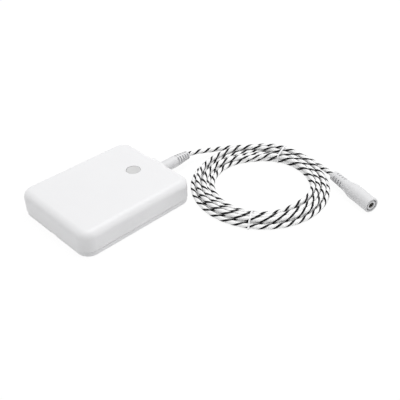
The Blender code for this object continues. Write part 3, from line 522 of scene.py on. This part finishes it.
def coil_turns():
    """Angles, radii and heights of the turns: the upper ones go inwards, then the floor's outwards."""
    given, distances = zip(*UPPER_TURNS)
    upper = np.arange(given[0], given[-1], -TURN_STEP)
    upper_radii = smoothed(np.interp(-upper, [-t for t in given], distances), 3)
    upper_heights = [resting_height(r, t) for r, t in zip(upper_radii, upper)]

    landing = np.arange(upper[-1] - TURN_STEP, LANDING[1], -TURN_STEP)
    share = eased(np.clip((landing - LANDING[1]) / (LANDING[0] - LANDING[1]), 0.0, 1.0))
    out = np.where(landing > RIDE_OUT_FROM, 0.0, [step_out(t) for t in landing])
    landing_radii = INNER_STRAND + STRAND_PITCH * share * out
    landing_heights = [resting_height(r, t, RIDE_BEYOND if t < RIDE_OUT_FROM else 0.0)
                       for r, t in zip(landing_radii, landing)]

    floor = np.arange(landing[-1] - TURN_STEP, COIL_END, -TURN_STEP)
    turn = np.floor((RIDE_OUT_FROM - floor) / 360.0)
    out = [step_out(t) for t in floor]
    floor_radii = INNER_STRAND + STRAND_PITCH * np.where(turn < 1, 0.0, turn - 1 + out)

    radii = np.concatenate([upper_radii, landing_radii, floor_radii])
    heights = np.concatenate([upper_heights, landing_heights, np.full(len(floor), FLOOR_STRAND)])
    return np.concatenate([upper, landing, floor]), smoothed(radii, 2), smoothed(heights, 3)


def rope_route():
    """The whole centreline of the rope, from inside the plug to inside the socket."""
    angles, radii, heights = coil_turns()
    turns = np.radians(angles)
    coil = zip(COIL_CENTRE[0] + radii * np.cos(turns), COIL_CENTRE[1] + radii * np.sin(turns), heights)
    return smooth_route([at(*place) for place in (*LEAD_ROUTE, *coil, *TAIL_ROUTE)], ROUTE_SPACING)


def rope_frames(route):
    """Directions along and across the route, carried along it without twist."""
    along = np.gradient(route, axis=0)
    along /= np.linalg.norm(along, axis=1)[:, None]
    across = [np.array([0.0, 0.0, 1.0])]
    for heading in along:
        side = across[-1] - heading * across[-1].dot(heading)
        across.append(side / np.linalg.norm(side))
    across = np.array(across[1:])
    return across, np.cross(along, across)


def make_rope(settings):
    """The rope's white braid: rings along the route, with a UV map round and along it."""
    sides = 20
    route = rope_route()
    up, side = rope_frames(route)
    run = np.concatenate([[0], np.cumsum(np.linalg.norm(np.diff(route, axis=0), axis=1))])
    bm = bmesh.new()
    uv = bm.loops.layers.uv.new("round_and_along")
    turns = [2 * math.pi * n / sides for n in range(sides)]
    rings = [[bm.verts.new(place + settings.radius * (math.cos(t) * a + math.sin(t) * b)) for t in turns]
             for place, a, b in zip(route, up, side)]
    for row, (ring, following) in enumerate(zip(rings, rings[1:])):
        for n in range(sides):
            m = (n + 1) % sides
            face = bm.faces.new((ring[n], ring[m], following[m], following[n]))
            face.smooth = True
            for loop, (u, v) in zip(face.loops, ((n, row), (n + 1, row), (n + 1, row + 1), (n, row + 1))):
                loop[uv].uv = (u / sides, run[v] / settings.thread_pitch)
    bm.faces.new(reversed(rings[0]))
    bm.faces.new(rings[-1])
    rope = new_object("rope_braid", bm)
    # Shade is the strength of the painted shade in the gaps between the yarns
    looks = {"Color": settings.white, "Yarns round": 8.0, "Yarns along": 8.0, "Shade": 0.05}
    braid = finish_material("white_braid", shared("round_braid", round_braid), "UV", looks, 0.3, 0.1 * MM,
                            Sheen_Weight=0.15)
    dress(rope, braid, "rope_fibre", "cord_lead", "cord_coil", "cord_tail")
    return rope, route, float(run[-1])


def thread_tree(material):
    """Geometry nodes that wind threads round a curve."""
    tree, given, result = new_group(
        "wound_threads", "GeometryNodeTree",
        [("Geometry", "NodeSocketGeometry", None), ("Rope radius", "NodeSocketFloat", 0.0014),
         ("Thread pitch", "NodeSocketFloat", 0.014), ("Thread width", "NodeSocketFloat", 0.0009),
         ("Thread height", "NodeSocketFloat", 0.0001), ("Threads", "NodeSocketInt", 2),
         ("Start angle", "NodeSocketFloat", 0.0)],
        [("Geometry", "NodeSocketGeometry")])
    spacing = math_node(tree, "DIVIDE", given["Thread pitch"], 16.0)
    even = add_node(tree, "GeometryNodeResampleCurve", {"Curve": given["Geometry"], "Length": spacing},
                    mode="LENGTH")
    copies = add_node(tree, "GeometryNodeDuplicateElements",
                      {"Geometry": even.outputs[0], "Amount": given["Threads"]}, domain="SPLINE")
    run = add_node(tree, "GeometryNodeSplineParameter").outputs["Length"]
    turns = math_node(tree, "ADD", math_node(tree, "DIVIDE", run, given["Thread pitch"]),
                      math_node(tree, "DIVIDE", copies.outputs["Duplicate Index"], given["Threads"]))
    angle = math_node(tree, "MULTIPLY_ADD", turns, -2 * math.pi, given["Start angle"])
    normal = add_node(tree, "GeometryNodeInputNormal").outputs[0]
    tangent = add_node(tree, "GeometryNodeInputTangent").outputs[0]
    binormal = vector_math(tree, "CROSS_PRODUCT", tangent, normal)
    outward = vector_math(tree, "ADD", scaled(tree, normal, math_node(tree, "COSINE", angle)),
                          scaled(tree, binormal, math_node(tree, "SINE", angle)))
    kept = add_node(tree, "GeometryNodeCaptureAttribute", {"Geometry": copies.outputs["Geometry"]})
    kept.capture_items.new("VECTOR", "Outward")
    tree.links.new(outward, kept.inputs["Outward"])
    half_height = 0.3 * MM
    sunk = math_node(tree, "SUBTRACT", given["Thread height"], half_height)
    centre = math_node(tree, "ADD", given["Rope radius"], sunk)
    placed = add_node(tree, "GeometryNodeSetPosition", {
        "Geometry": kept.outputs["Geometry"], "Offset": scaled(tree, kept.outputs["Outward"], centre)})
    facing = add_node(tree, "GeometryNodeSetCurveNormal", {"Curve": placed.outputs[0]}, mode="FREE")
    tree.links.new(kept.outputs["Outward"], facing.inputs["Normal"])
    ring = add_node(tree, "GeometryNodeCurvePrimitiveCircle", {"Resolution": 8, "Radius": 1.0},
                    mode="RADIUS")
    half_width = math_node(tree, "MULTIPLY", given["Thread width"], 0.5)
    size = add_node(tree, "ShaderNodeCombineXYZ", {"X": half_height, "Y": half_width, "Z": 1.0})
    profile = add_node(tree, "GeometryNodeTransform",
                       {"Geometry": ring.outputs[0], "Scale": size.outputs[0]})
    solid = add_node(tree, "GeometryNodeCurveToMesh", {
        "Curve": facing.outputs[0], "Profile Curve": profile.outputs[0], "Fill Caps": True})
    smooth = add_node(tree, "GeometryNodeSetShadeSmooth", {"Geometry": solid.outputs[0]})
    real = add_node(tree, "GeometryNodeRealizeInstances", {"Geometry": smooth.outputs[0]})
    painted = add_node(tree, "GeometryNodeSetMaterial", {"Geometry": real.outputs[0], "Material": material})
    tree.links.new(painted.outputs[0], result["Geometry"])
    return tree


def set_input(modifier, name, value):
    """Set a geometry nodes input by its socket's identifier."""
    for item in modifier.node_group.interface.items_tree:
        if item.item_type == "SOCKET" and item.in_out == "INPUT" and item.name == name:
            modifier[item.identifier] = value
            return
    raise RuntimeError(f"the tree has no input named {name}")


def make_threads(settings, route):
    """The black threads that wind round the rope."""
    line = bpy.data.curves.new("thread_line", "CURVE")
    line.dimensions = "3D"
    spline = line.splines.new("POLY")
    spline.points.add(len(route) - 1)
    spline.points.foreach_set("co", np.column_stack([route, np.ones(len(route))]).ravel())
    guide = add_object("thread_line", line)
    black = plastic("black_thread", settings.black, roughness=0.7, grain=0.0003, bump=0.4, variation=0.5,
                    Specular_IOR_Level=0.15)
    winding = guide.modifiers.new("winding", "NODES")
    winding.node_group = thread_tree(black)
    for name, value in (("Rope radius", settings.radius), ("Thread pitch", settings.thread_pitch),
                        ("Thread width", settings.thread_width), ("Thread height", settings.thread_proud),
                        ("Threads", settings.thread_count), ("Start angle", settings.thread_turn)):
        set_input(winding, name, value)
    threads = add_object("rope_threads", result_mesh(guide))
    bpy.data.objects.remove(guide)
    return dress(threads, black, "rope_fibre")


def outline(inset, height):
    """The housing's plan outline drawn in by an inset, as points from the near right corner."""
    steps = 14
    half_x, half_y = LENGTH / 2 - inset, WIDTH / 2 - inset
    corner = PLAN_CORNER - inset
    points = []
    for quarter, (sx, sy) in enumerate(((1, -1), (1, 1), (-1, 1), (-1, -1))):
        for turn in np.linspace(quarter * 90 - 90, quarter * 90, steps + 1):
            points.append((SHIFT_X + sx * (half_x - corner) + corner * math.cos(math.radians(turn)),
                           sy * (half_y - corner) + corner * math.sin(math.radians(turn)), height))
    return points


def circle(radius, height):
    """A level circle of points round the button's middle."""
    steps = 64
    turns = [2 * math.pi * n / steps for n in range(steps)]
    return [(BUTTON_X + radius * math.cos(t), radius * math.sin(t), height) for t in turns]


def add_rings(bm, rings):
    """Join rings of points with faces, and give back the first and last ring's edges."""
    made = [[bm.verts.new(point) for point in ring] for ring in rings]
    for ring, following in zip(made, made[1:]):
        for n in range(len(ring)):
            m = (n + 1) % len(ring)
            bm.faces.new((ring[n], ring[m], following[m], following[n]))
    return [[bm.edges.get(pair) for pair in zip(ring, ring[1:] + ring[:1])] for ring in (made[0], made[-1])]


def block(name, size, centre):
    """A plain box as a tool."""
    bm = bmesh.new()
    bmesh.ops.create_cube(bm, size=1.0)
    bmesh.ops.scale(bm, vec=size, verts=bm.verts)
    bmesh.ops.translate(bm, vec=centre, verts=bm.verts)
    return new_object(name, bm)


def rod(name, radius, low, high):
    """A cylinder along X on the jack's axis, as a tool."""
    bm = bmesh.new()
    bmesh.ops.create_cone(bm, cap_ends=True, segments=48, radius1=radius, radius2=radius,
                          depth=high - low, matrix=Matrix.Rotation(math.pi / 2, 4, "Y"))
    bmesh.ops.translate(bm, vec=((low + high) / 2, 0, JACK_Z), verts=bm.verts)
    return new_object(name, bm)


def turned(bm, profile):
    """Turn a profile of radii and places along Z into a closed skin."""
    steps = 72
    rings = []
    for radius, along in profile:
        turns = [2 * math.pi * n / steps for n in range(steps)] if radius else [0.0]
        rings.append([bm.verts.new((radius * MM * math.cos(t), radius * MM * math.sin(t), along * MM))
                      for t in turns])
    for ring, following in zip(rings, rings[1:]):
        for n in range(steps):
            m = (n + 1) % steps
            corners = [ring[n % len(ring)], ring[m % len(ring)],
                       following[m % len(following)], following[n % len(following)]]
            if len(set(corners)) > 2:
                bm.faces.new(list(dict.fromkeys(corners)))
    bmesh.ops.recalc_face_normals(bm, faces=bm.faces)


def relief_window(bm, low, high, inner, outer, start, end):
    """A curved block round Z, between two heights, two radii and two angles, as a tool."""
    steps = 16
    rows = []
    for turn in np.linspace(start, end, steps + 1):
        x, y = math.cos(turn) * MM, math.sin(turn) * MM
        rows.append([bm.verts.new((r * x, r * y, z * MM)) for r, z in
                     ((inner, low), (outer, low), (outer, high), (inner, high))])
    bm.faces.new(rows[0])
    bm.faces.new(rows[-1][::-1])
    for row, following in zip(rows, rows[1:]):
        for n in range(4):
            m = (n + 1) % 4
            bm.faces.new((row[m], row[n], following[n], following[m]))


def make_grip(name, profile, windows, spine, place, heading, settings):
    """A moulded grip whose strain relief is pierced down to a core, beside two spines."""
    bm = bmesh.new()
    turned(bm, profile)
    grip = new_object(name, bm)
    first, pitch, count = windows
    spine_width, spine_turn = spine
    radii, places = zip(*profile[:SKIN_POINTS])
    half, depth = settings.window_width / MM / 2, settings.window_depth / MM
    bm = bmesh.new()
    for middle in (first + index * pitch for index in range(count)):
        outer = float(np.interp(middle, places, radii))
        gap = math.asin(spine_width / 2 / (outer - depth / 2))
        for side in (0, math.pi):
            relief_window(bm, middle - half, middle + half, outer - depth, outer + CUT_ABOVE_SKIN,
                          side + spine_turn + gap, side + spine_turn + math.pi - gap)
    bmesh.ops.recalc_face_normals(bm, faces=bm.faces)
    carve(grip, new_object("windows", bm))
    along = Vector((math.cos(heading), math.sin(heading), 0.0))
    across = along.cross(Vector((0, 0, 1)))
    pose = Matrix((Vector((0, 0, 1)), across, along)).transposed().to_4x4()
    grip.data.transform(Matrix.Translation(Vector(at(*place))) @ pose)
    return soften(grip, settings.rib_edge)


def make_top_cover(settings):
    """The upper shell with its soft fillet, the button's hole and guide, and the jack's pad."""
    edge = settings.edge
    low = COVER_LOW.z
    arc = [math.radians(a) for a in np.linspace(0, 90, 13)]
    outer = [outline(edge * (1 - math.cos(a)), low + edge * (1 - math.sin(a))) for a in reversed(arc[::4])]
    outer += [outline(TOP_EDGE_ROUND * (1 - math.cos(a)), HEIGHT - TOP_EDGE_ROUND * (1 - math.sin(a)))
              for a in arc]
    inner_round = TOP_EDGE_ROUND - WALL
    inner = [outline(WALL, low)]
    inner += [outline(WALL + inner_round * (1 - math.cos(a)), CEILING - inner_round * (1 - math.sin(a)))
              for a in arc[::2]]
    hole = [circle(radius, height) for radius, height in (
        (HOLE_RADIUS + HOLE_LIP, HEIGHT), (HOLE_RADIUS + 0.3 * HOLE_LIP, HEIGHT - 0.3 * HOLE_LIP),
        (HOLE_RADIUS, HEIGHT - HOLE_LIP), (HOLE_RADIUS, CEILING), (GUIDE_INNER, CEILING),
        (GUIDE_INNER, CEILING - GUIDE_DEPTH), (GUIDE_OUTER, CEILING - GUIDE_DEPTH), (GUIDE_OUTER, CEILING))]
    bm = bmesh.new()
    ceiling, top = add_rings(bm, inner[::-1] + outer)
    hole_top, hole_bottom = add_rings(bm, hole)
    bmesh.ops.triangle_fill(bm, edges=top + hole_top, use_beauty=True, normal=(0, 0, 1))
    bmesh.ops.triangle_fill(bm, edges=ceiling + hole_bottom, use_beauty=True, normal=(0, 0, -1))
    bmesh.ops.recalc_face_normals(bm, faces=bm.faces)
    bmesh.ops.dissolve_limit(bm, angle_limit=math.radians(0.2), verts=bm.verts, edges=bm.edges)
    cover = new_object("top_shell", bm)

    pad = block("pad", (PAD_DEPTH, PAD_WIDTH, PAD_TOP - PAD_LOW),
                (PAD_X - PAD_DEPTH / 2, 0, (PAD_TOP + PAD_LOW) / 2))
    bm = bmesh.new()
    bm.from_mesh(pad.data)
    along_x = [e for e in bm.edges if abs(e.verts[0].co.x - e.verts[1].co.x) > 0.1 * MM]
    bmesh.ops.bevel(bm, geom=along_x, offset=PAD_CORNER, segments=10, profile=0.5, affect="EDGES")
    front = [e for e in bm.edges if all(v.co.x > PAD_X - 1e-6 for v in e.verts)]
    bmesh.ops.bevel(bm, geom=front, offset=PAD_EDGE, segments=4, profile=0.5, affect="EDGES")
    bm.to_mesh(pad.data)
    bm.free()
    carve(cover, pad, "UNION")
    carve(cover, rod("jack_hole", JACK_HOLE, PAD_X - 5 * MM, PAD_X + 1 * MM))
    for side_x in (-1, 1):
        for side_y in (-1, 1):
            place = (SHIFT_X + side_x * HOOK_X, side_y * HOOK_Y, HOOK_Z)
            carve(cover, block("pocket", HOOK_POCKET, place))
    return soften(cover, 0.0)


def stretched_round(points):
    """The corners of the tightest outline round flat points, anticlockwise."""
    corners = []
    cloud = sorted(set(points))
    for half in (cloud, cloud[::-1]):
        side = []
        for x, y in half:
            while len(side) > 1 and ((side[-1][0] - side[-2][0]) * (y - side[-2][1])
                                     - (side[-1][1] - side[-2][1]) * (x - side[-2][0])) <= 0:
                side.pop()
            side.append((x, y))
        corners += side[:-1]
    return corners


def make_tie(name, degrees, material, node):
    """A flat tie pulled round the coil's strands, with its short tail on the outer side."""
    turn = math.radians(degrees)
    outward = np.array([math.cos(turn), math.sin(turn)])
    sideways = np.array([-math.sin(turn), math.cos(turn)])
    angles, radii, heights = coil_turns()
    passes = [t for t in np.arange(degrees, COIL_END, -360.0) if angles[-1] <= t <= angles[0]]
    centres = [[float(np.interp(-t, -angles, values)) for values in (radii, heights)] for t in passes]
    hull = [(r, max(z, TIE_HALF_THICK)) for r, z in stretched_round(
        (round(r + TIE_REACH * math.cos(a), 4), round(z + TIE_REACH * math.sin(a), 4))
        for r, z in centres for a in np.linspace(0, 2 * math.pi, 24, endpoint=False))]
    wide, thick = TIE_HALF_WIDTH, TIE_HALF_THICK
    band = ((-wide, -thick), (wide, -thick), (wide, thick * 0.5), (wide * 0.8, thick),
            (-wide * 0.8, thick), (-wide, thick * 0.5))
    bm = bmesh.new()
    rings = []
    for before, (r, z), after in zip(hull[-1:] + hull, hull, hull[1:] + hull[:1]):
        run = np.subtract(after, before) / math.dist(after, before)
        ring = []
        for across, out in band:
            flat = np.array(COIL_CENTRE) + outward * (r + run[1] * out) + sideways * across
            ring.append(bm.verts.new(at(flat[0], flat[1], max(z - run[0] * out, 0.01))))
        rings.append(ring)
    for ring, following in zip(rings, rings[1:] + rings[:1]):
        for n in range(len(band)):
            m = (n + 1) % len(band)
            bm.faces.new((ring[n], ring[m], following[m], following[n]))
    bmesh.ops.recalc_face_normals(bm, faces=bm.faces)
    tie = new_object(name, bm)
    tail = block("tail", TIE_TAIL, (0, 0, 0))
    far = np.array(COIL_CENTRE) + outward * (max(r for r, z in hull) + TIE_TAIL_OUT)
    place = Matrix.Translation(Vector(at(far[0], far[1], TIE_TAIL_UP)))
    tail.data.transform(place @ Matrix.Rotation(turn, 4, "Z"))
    carve(tie, tail, "UNION")
    soften(tie, 0.0)
    return dress(tie, material, "tie_white", node)


def aim(item, target):
    """Turn a camera or lamp to the spot that it looks at."""
    item.rotation_mode = "QUATERNION"
    item.rotation_quaternion = (Vector(target) - item.location).to_track_quat("-Z", "Y")


def make_camera(settings):
    """The camera at the photograph's viewing angle."""
    a, e = settings.azimuth, settings.elevation
    back = Vector((math.sin(a) * math.cos(e), -math.cos(a) * math.cos(e), math.sin(e)))
    data = bpy.data.cameras.new("camera")
    data.sensor_width = 36.0
    data.lens = LENS
    data.shift_x, data.shift_y = LENS_SHIFT
    data.clip_start, data.clip_end = 0.01, 20.0
    camera = add_object("camera", data)
    target = Vector(at(*CAMERA_TARGET))
    camera.location = back * settings.distance + target
    aim(camera, target)
    bpy.context.scene.camera = camera


def show_white(tree, level):
    """How much of plain white the camera, reflections and clear pieces see."""
    rays = add_node(tree, "ShaderNodeLightPath").outputs
    seen = rays["Is Camera Ray"]
    for kind in ("Is Glossy Ray", "Is Transmission Ray"):
        seen = math_node(tree, "MAXIMUM", seen, rays[kind])
    return math_node(tree, "MULTIPLY", seen, level)


def add_lamp(name, place, size, power):
    """A soft round lamp that shines on the object."""
    lamp = bpy.data.lights.new(name, "AREA")
    lamp.shape = "DISK"
    lamp.size = size
    lamp.energy = power
    holder = add_object(name, lamp)
    holder.location = place
    aim(holder, LAMP_TARGET)


def make_stage(settings):
    """The pale floor, the light from all round and the soft lamps."""
    bm = bmesh.new()
    bmesh.ops.create_grid(bm, x_segments=1, y_segments=1, size=4.0)
    bmesh.ops.translate(bm, vec=(0, 0, -FLOOR_DROP), verts=bm.verts)
    floor = new_object("floor", bm)
    paint = bpy.data.materials.new("floor")
    paint.use_nodes = True
    tree = paint.node_tree
    tree.nodes.clear()
    where = add_node(tree, "ShaderNodeTexCoord").outputs["Object"]
    tone = scaled(tree, tuple(settings.floor), varied(tree, noise(tree, where, 3.0), 0.01, 1.0))
    matt = add_node(tree, "ShaderNodeBsdfDiffuse", {"Color": tone})
    glow = add_node(tree, "ShaderNodeEmission", {"Color": (1, 1, 1, 1), "Strength": 1.03})
    away = add_node(tree, "ShaderNodeVectorMath", {0: where}, operation="LENGTH").outputs["Value"]
    level = add_node(tree, "ShaderNodeMapRange", {"Value": away, "From Min": 0.25, "From Max": 0.6,
                                                  "To Min": 0.92, "To Max": 1.0}).outputs[0]
    mixed = add_node(tree, "ShaderNodeMixShader", {
        0: show_white(tree, level), 1: matt.outputs[0], 2: glow.outputs[0]})
    clear = add_node(tree, "ShaderNodeBsdfTransparent")
    below = add_node(tree, "ShaderNodeNewGeometry").outputs["Backfacing"]
    sided = add_node(tree, "ShaderNodeMixShader", {0: below, 1: mixed.outputs[0], 2: clear.outputs[0]})
    add_node(tree, "ShaderNodeOutputMaterial", {"Surface": sided.outputs[0]})
    floor.data.materials.append(paint)

    world = bpy.data.worlds.new("studio")
    bpy.context.scene.world = world
    world.use_nodes = True
    tree = world.node_tree
    tree.nodes.clear()
    strength = add_node(tree, "ShaderNodeMix", {0: show_white(tree, 1.0), 2: settings.sky, 3: 1.0},
                        data_type="FLOAT")
    light = add_node(tree, "ShaderNodeBackground", {"Color": (1, 1, 1, 1), "Strength": strength.outputs[0]})
    add_node(tree, "ShaderNodeOutputWorld", {"Surface": light.outputs[0]})

    add_lamp("overhead", (0.25, -0.02, 0.9), 0.8, settings.lamp)
    add_lamp("left", (-0.8, 0.4, 0.28), 0.6, settings.side_lamp)
    add_lamp("right", (0.4, -0.8, 0.28), 0.6, settings.side_lamp)
    bpy.context.scene.view_settings.view_transform = "Standard"


class LEAKSENSOR_OT_stage(bpy.types.Operator):
    """Make the floor, the lights and the camera"""
    bl_idname = "leak_sensor.stage"
    bl_label = "Make stage"

    def execute(self, context):
        make_camera(context.scene.leak_sensor_stage)
        make_stage(context.scene.leak_sensor_stage)
        return {"FINISHED"}


class LEAKSENSOR_OT_rope(bpy.types.Operator):
    """Make the sensing rope with its wound threads and ties"""
    bl_idname = "leak_sensor.rope"
    bl_label = "Make rope"

    def execute(self, context):
        settings = context.scene.leak_sensor_rope
        rope, route, length = make_rope(settings)
        threads = make_threads(settings, route)
        tie_finish = plastic("tie_nylon", settings.tie, roughness=0.35, grain=0.0006, bump=0.1)
        ties = [make_tie("coil_tie_near_socket", 19.1, tie_finish, "cord_tie_1"),
                make_tie("coil_tie_near_housing", 212.6, tie_finish, "cord_tie_2")]
        return {"FINISHED"}


class LEAKSENSOR_OT_housing(bpy.types.Operator):
    """Make the two covers of the housing"""
    bl_idname = "leak_sensor.housing"
    bl_label = "Make housing"

    def execute(self, context):
        settings = context.scene.leak_sensor_housing
        shell = plastic("white_shell", settings.shell, roughness=0.38, Specular_IOR_Level=0.25,
                        Coat_Weight=0.15, Coat_Roughness=0.3)
        dress(make_top_cover(settings), shell, "white_plastic", "top_cover")
        base = soften(node_copy("base_shell", "base_cover"), 0.12 * MM)
        dress(base, shell, "white_plastic", "base_cover")
        return {"FINISHED"}


class LEAKSENSOR_OT_button(bpy.types.Operator):
    """Make the push button's cap"""
    bl_idname = "leak_sensor.button"
    bl_label = "Make button"

    def execute(self, context):
        settings = context.scene.leak_sensor_housing
        grey = plastic("grey_button", settings.button, roughness=0.45)
        cap = soften(node_copy("button_face", "button_cap"), 0.08 * MM)
        dress(cap, grey, "grey_button", "button_cap", body="button")
        return {"FINISHED"}


class LEAKSENSOR_OT_mouldings(bpy.types.Operator):
    """Make the plug's and the socket's mouldings"""
    bl_idname = "leak_sensor.mouldings"
    bl_label = "Make plug and socket"

    def execute(self, context):
        settings = context.scene.leak_sensor_housing
        vinyl = plastic("white_vinyl", settings.vinyl, roughness=0.45, grain=0.0005, bump=0.06)
        plug = make_grip("plug_moulding", PLUG_PROFILE, PLUG_WINDOWS, PLUG_SPINE, PLUG_START, 0.0, settings)
        dress(plug, vinyl, "white_vinyl", "plug_grip")
        socket = make_grip("socket_moulding", SOCKET_PROFILE, SOCKET_WINDOWS, SOCKET_SPINE, SOCKET_START,
                           SOCKET_HEADING, settings)
        dress(socket, vinyl, "white_vinyl", "socket_grip")
        nose = soften(node_copy("socket_nose", "socket_insert"), settings.rib_edge)
        dress(nose, vinyl, "white_vinyl", "socket_insert")
        return {"FINISHED"}


class LEAKSENSOR_OT_insides(bpy.types.Operator):
    """Finish the pieces inside the housing and the metal ones"""
    bl_idname = "leak_sensor.insides"
    bl_label = "Finish inner pieces"

    def execute(self, context):
        nickel = metal("nickel", (0.72, 0.70, 0.66))
        steel = metal("steel", (0.62, 0.62, 0.63), roughness=0.3)
        board = plastic("board_green", (0.03, 0.17, 0.08), roughness=0.4, grain=0.001, variation=0.3)
        black = plastic("black_plastic", (0.02, 0.02, 0.022), roughness=0.45, variation=0.3)
        rubber = plastic("seal_rubber", (0.12, 0.12, 0.12), roughness=0.75, bump=0.3, variation=0.2)
        jacket = plastic("cell_jacket", (0.10, 0.12, 0.16), roughness=0.35, variation=0.1)
        finishes = {
            nickel: ("battery_spring", "battery_link", "battery_clip", "jack_bush", "jack_contact",
                     "plug_pin", "socket_sleeve", "socket_contact"),
            steel: ("board_screw", "radio_shield"),
            board: ("circuit_board", "radio_board"),
            black: ("switch_", "main_chip", "jack_body", "plug_insulator"),
            rubber: ("base_seal",),
            jacket: ("battery_cell",),
        }
        for material, starts in finishes.items():
            for name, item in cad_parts.items():
                if name.startswith(starts):
                    for place in item.material_slots:
                        place.material = material
        return {"FINISHED"}


class LEAKSENSOR_PT_panel(bpy.types.Panel):
    """Lists the steps that make the leak sensor"""
    bl_idname = "LEAKSENSOR_PT_panel"
    bl_label = "Water leak sensor"
    bl_space_type = "VIEW_3D"
    bl_region_type = "UI"
    bl_category = "Leak Sensor"

    def draw(self, context):
        for group in ("leak_sensor_rope", "leak_sensor_housing", "leak_sensor_stage"):
            box = self.layout.box()
            settings = getattr(context.scene, group)
            for name in settings.__annotations__:
                box.prop(settings, name)
        for step in STEPS:
            self.layout.operator(step.bl_idname)


GROUPS = {"leak_sensor_rope": LeakSensorRope, "leak_sensor_housing": LeakSensorHousing,
          "leak_sensor_stage": LeakSensorStage}
STEPS = (LEAKSENSOR_OT_stage, LEAKSENSOR_OT_housing, LEAKSENSOR_OT_button, LEAKSENSOR_OT_mouldings,
         LEAKSENSOR_OT_rope, LEAKSENSOR_OT_insides)


def register():
    for name, group in GROUPS.items():
        bpy.utils.register_class(group)
        setattr(bpy.types.Scene, name, PointerProperty(type=group))
    for item in (*STEPS, LEAKSENSOR_PT_panel):
        bpy.utils.register_class(item)


def unregister():
    for item in (LEAKSENSOR_PT_panel, *reversed(STEPS)):
        bpy.utils.unregister_class(item)
    for name, group in GROUPS.items():
        delattr(bpy.types.Scene, name)
        bpy.utils.unregister_class(group)


def main():
    """Make every piece in order."""
    register()
    for step in STEPS:
        group, name = step.bl_idname.split(".")
        getattr(getattr(bpy.ops, group), name)()


if __name__ == "__main__":
    main()
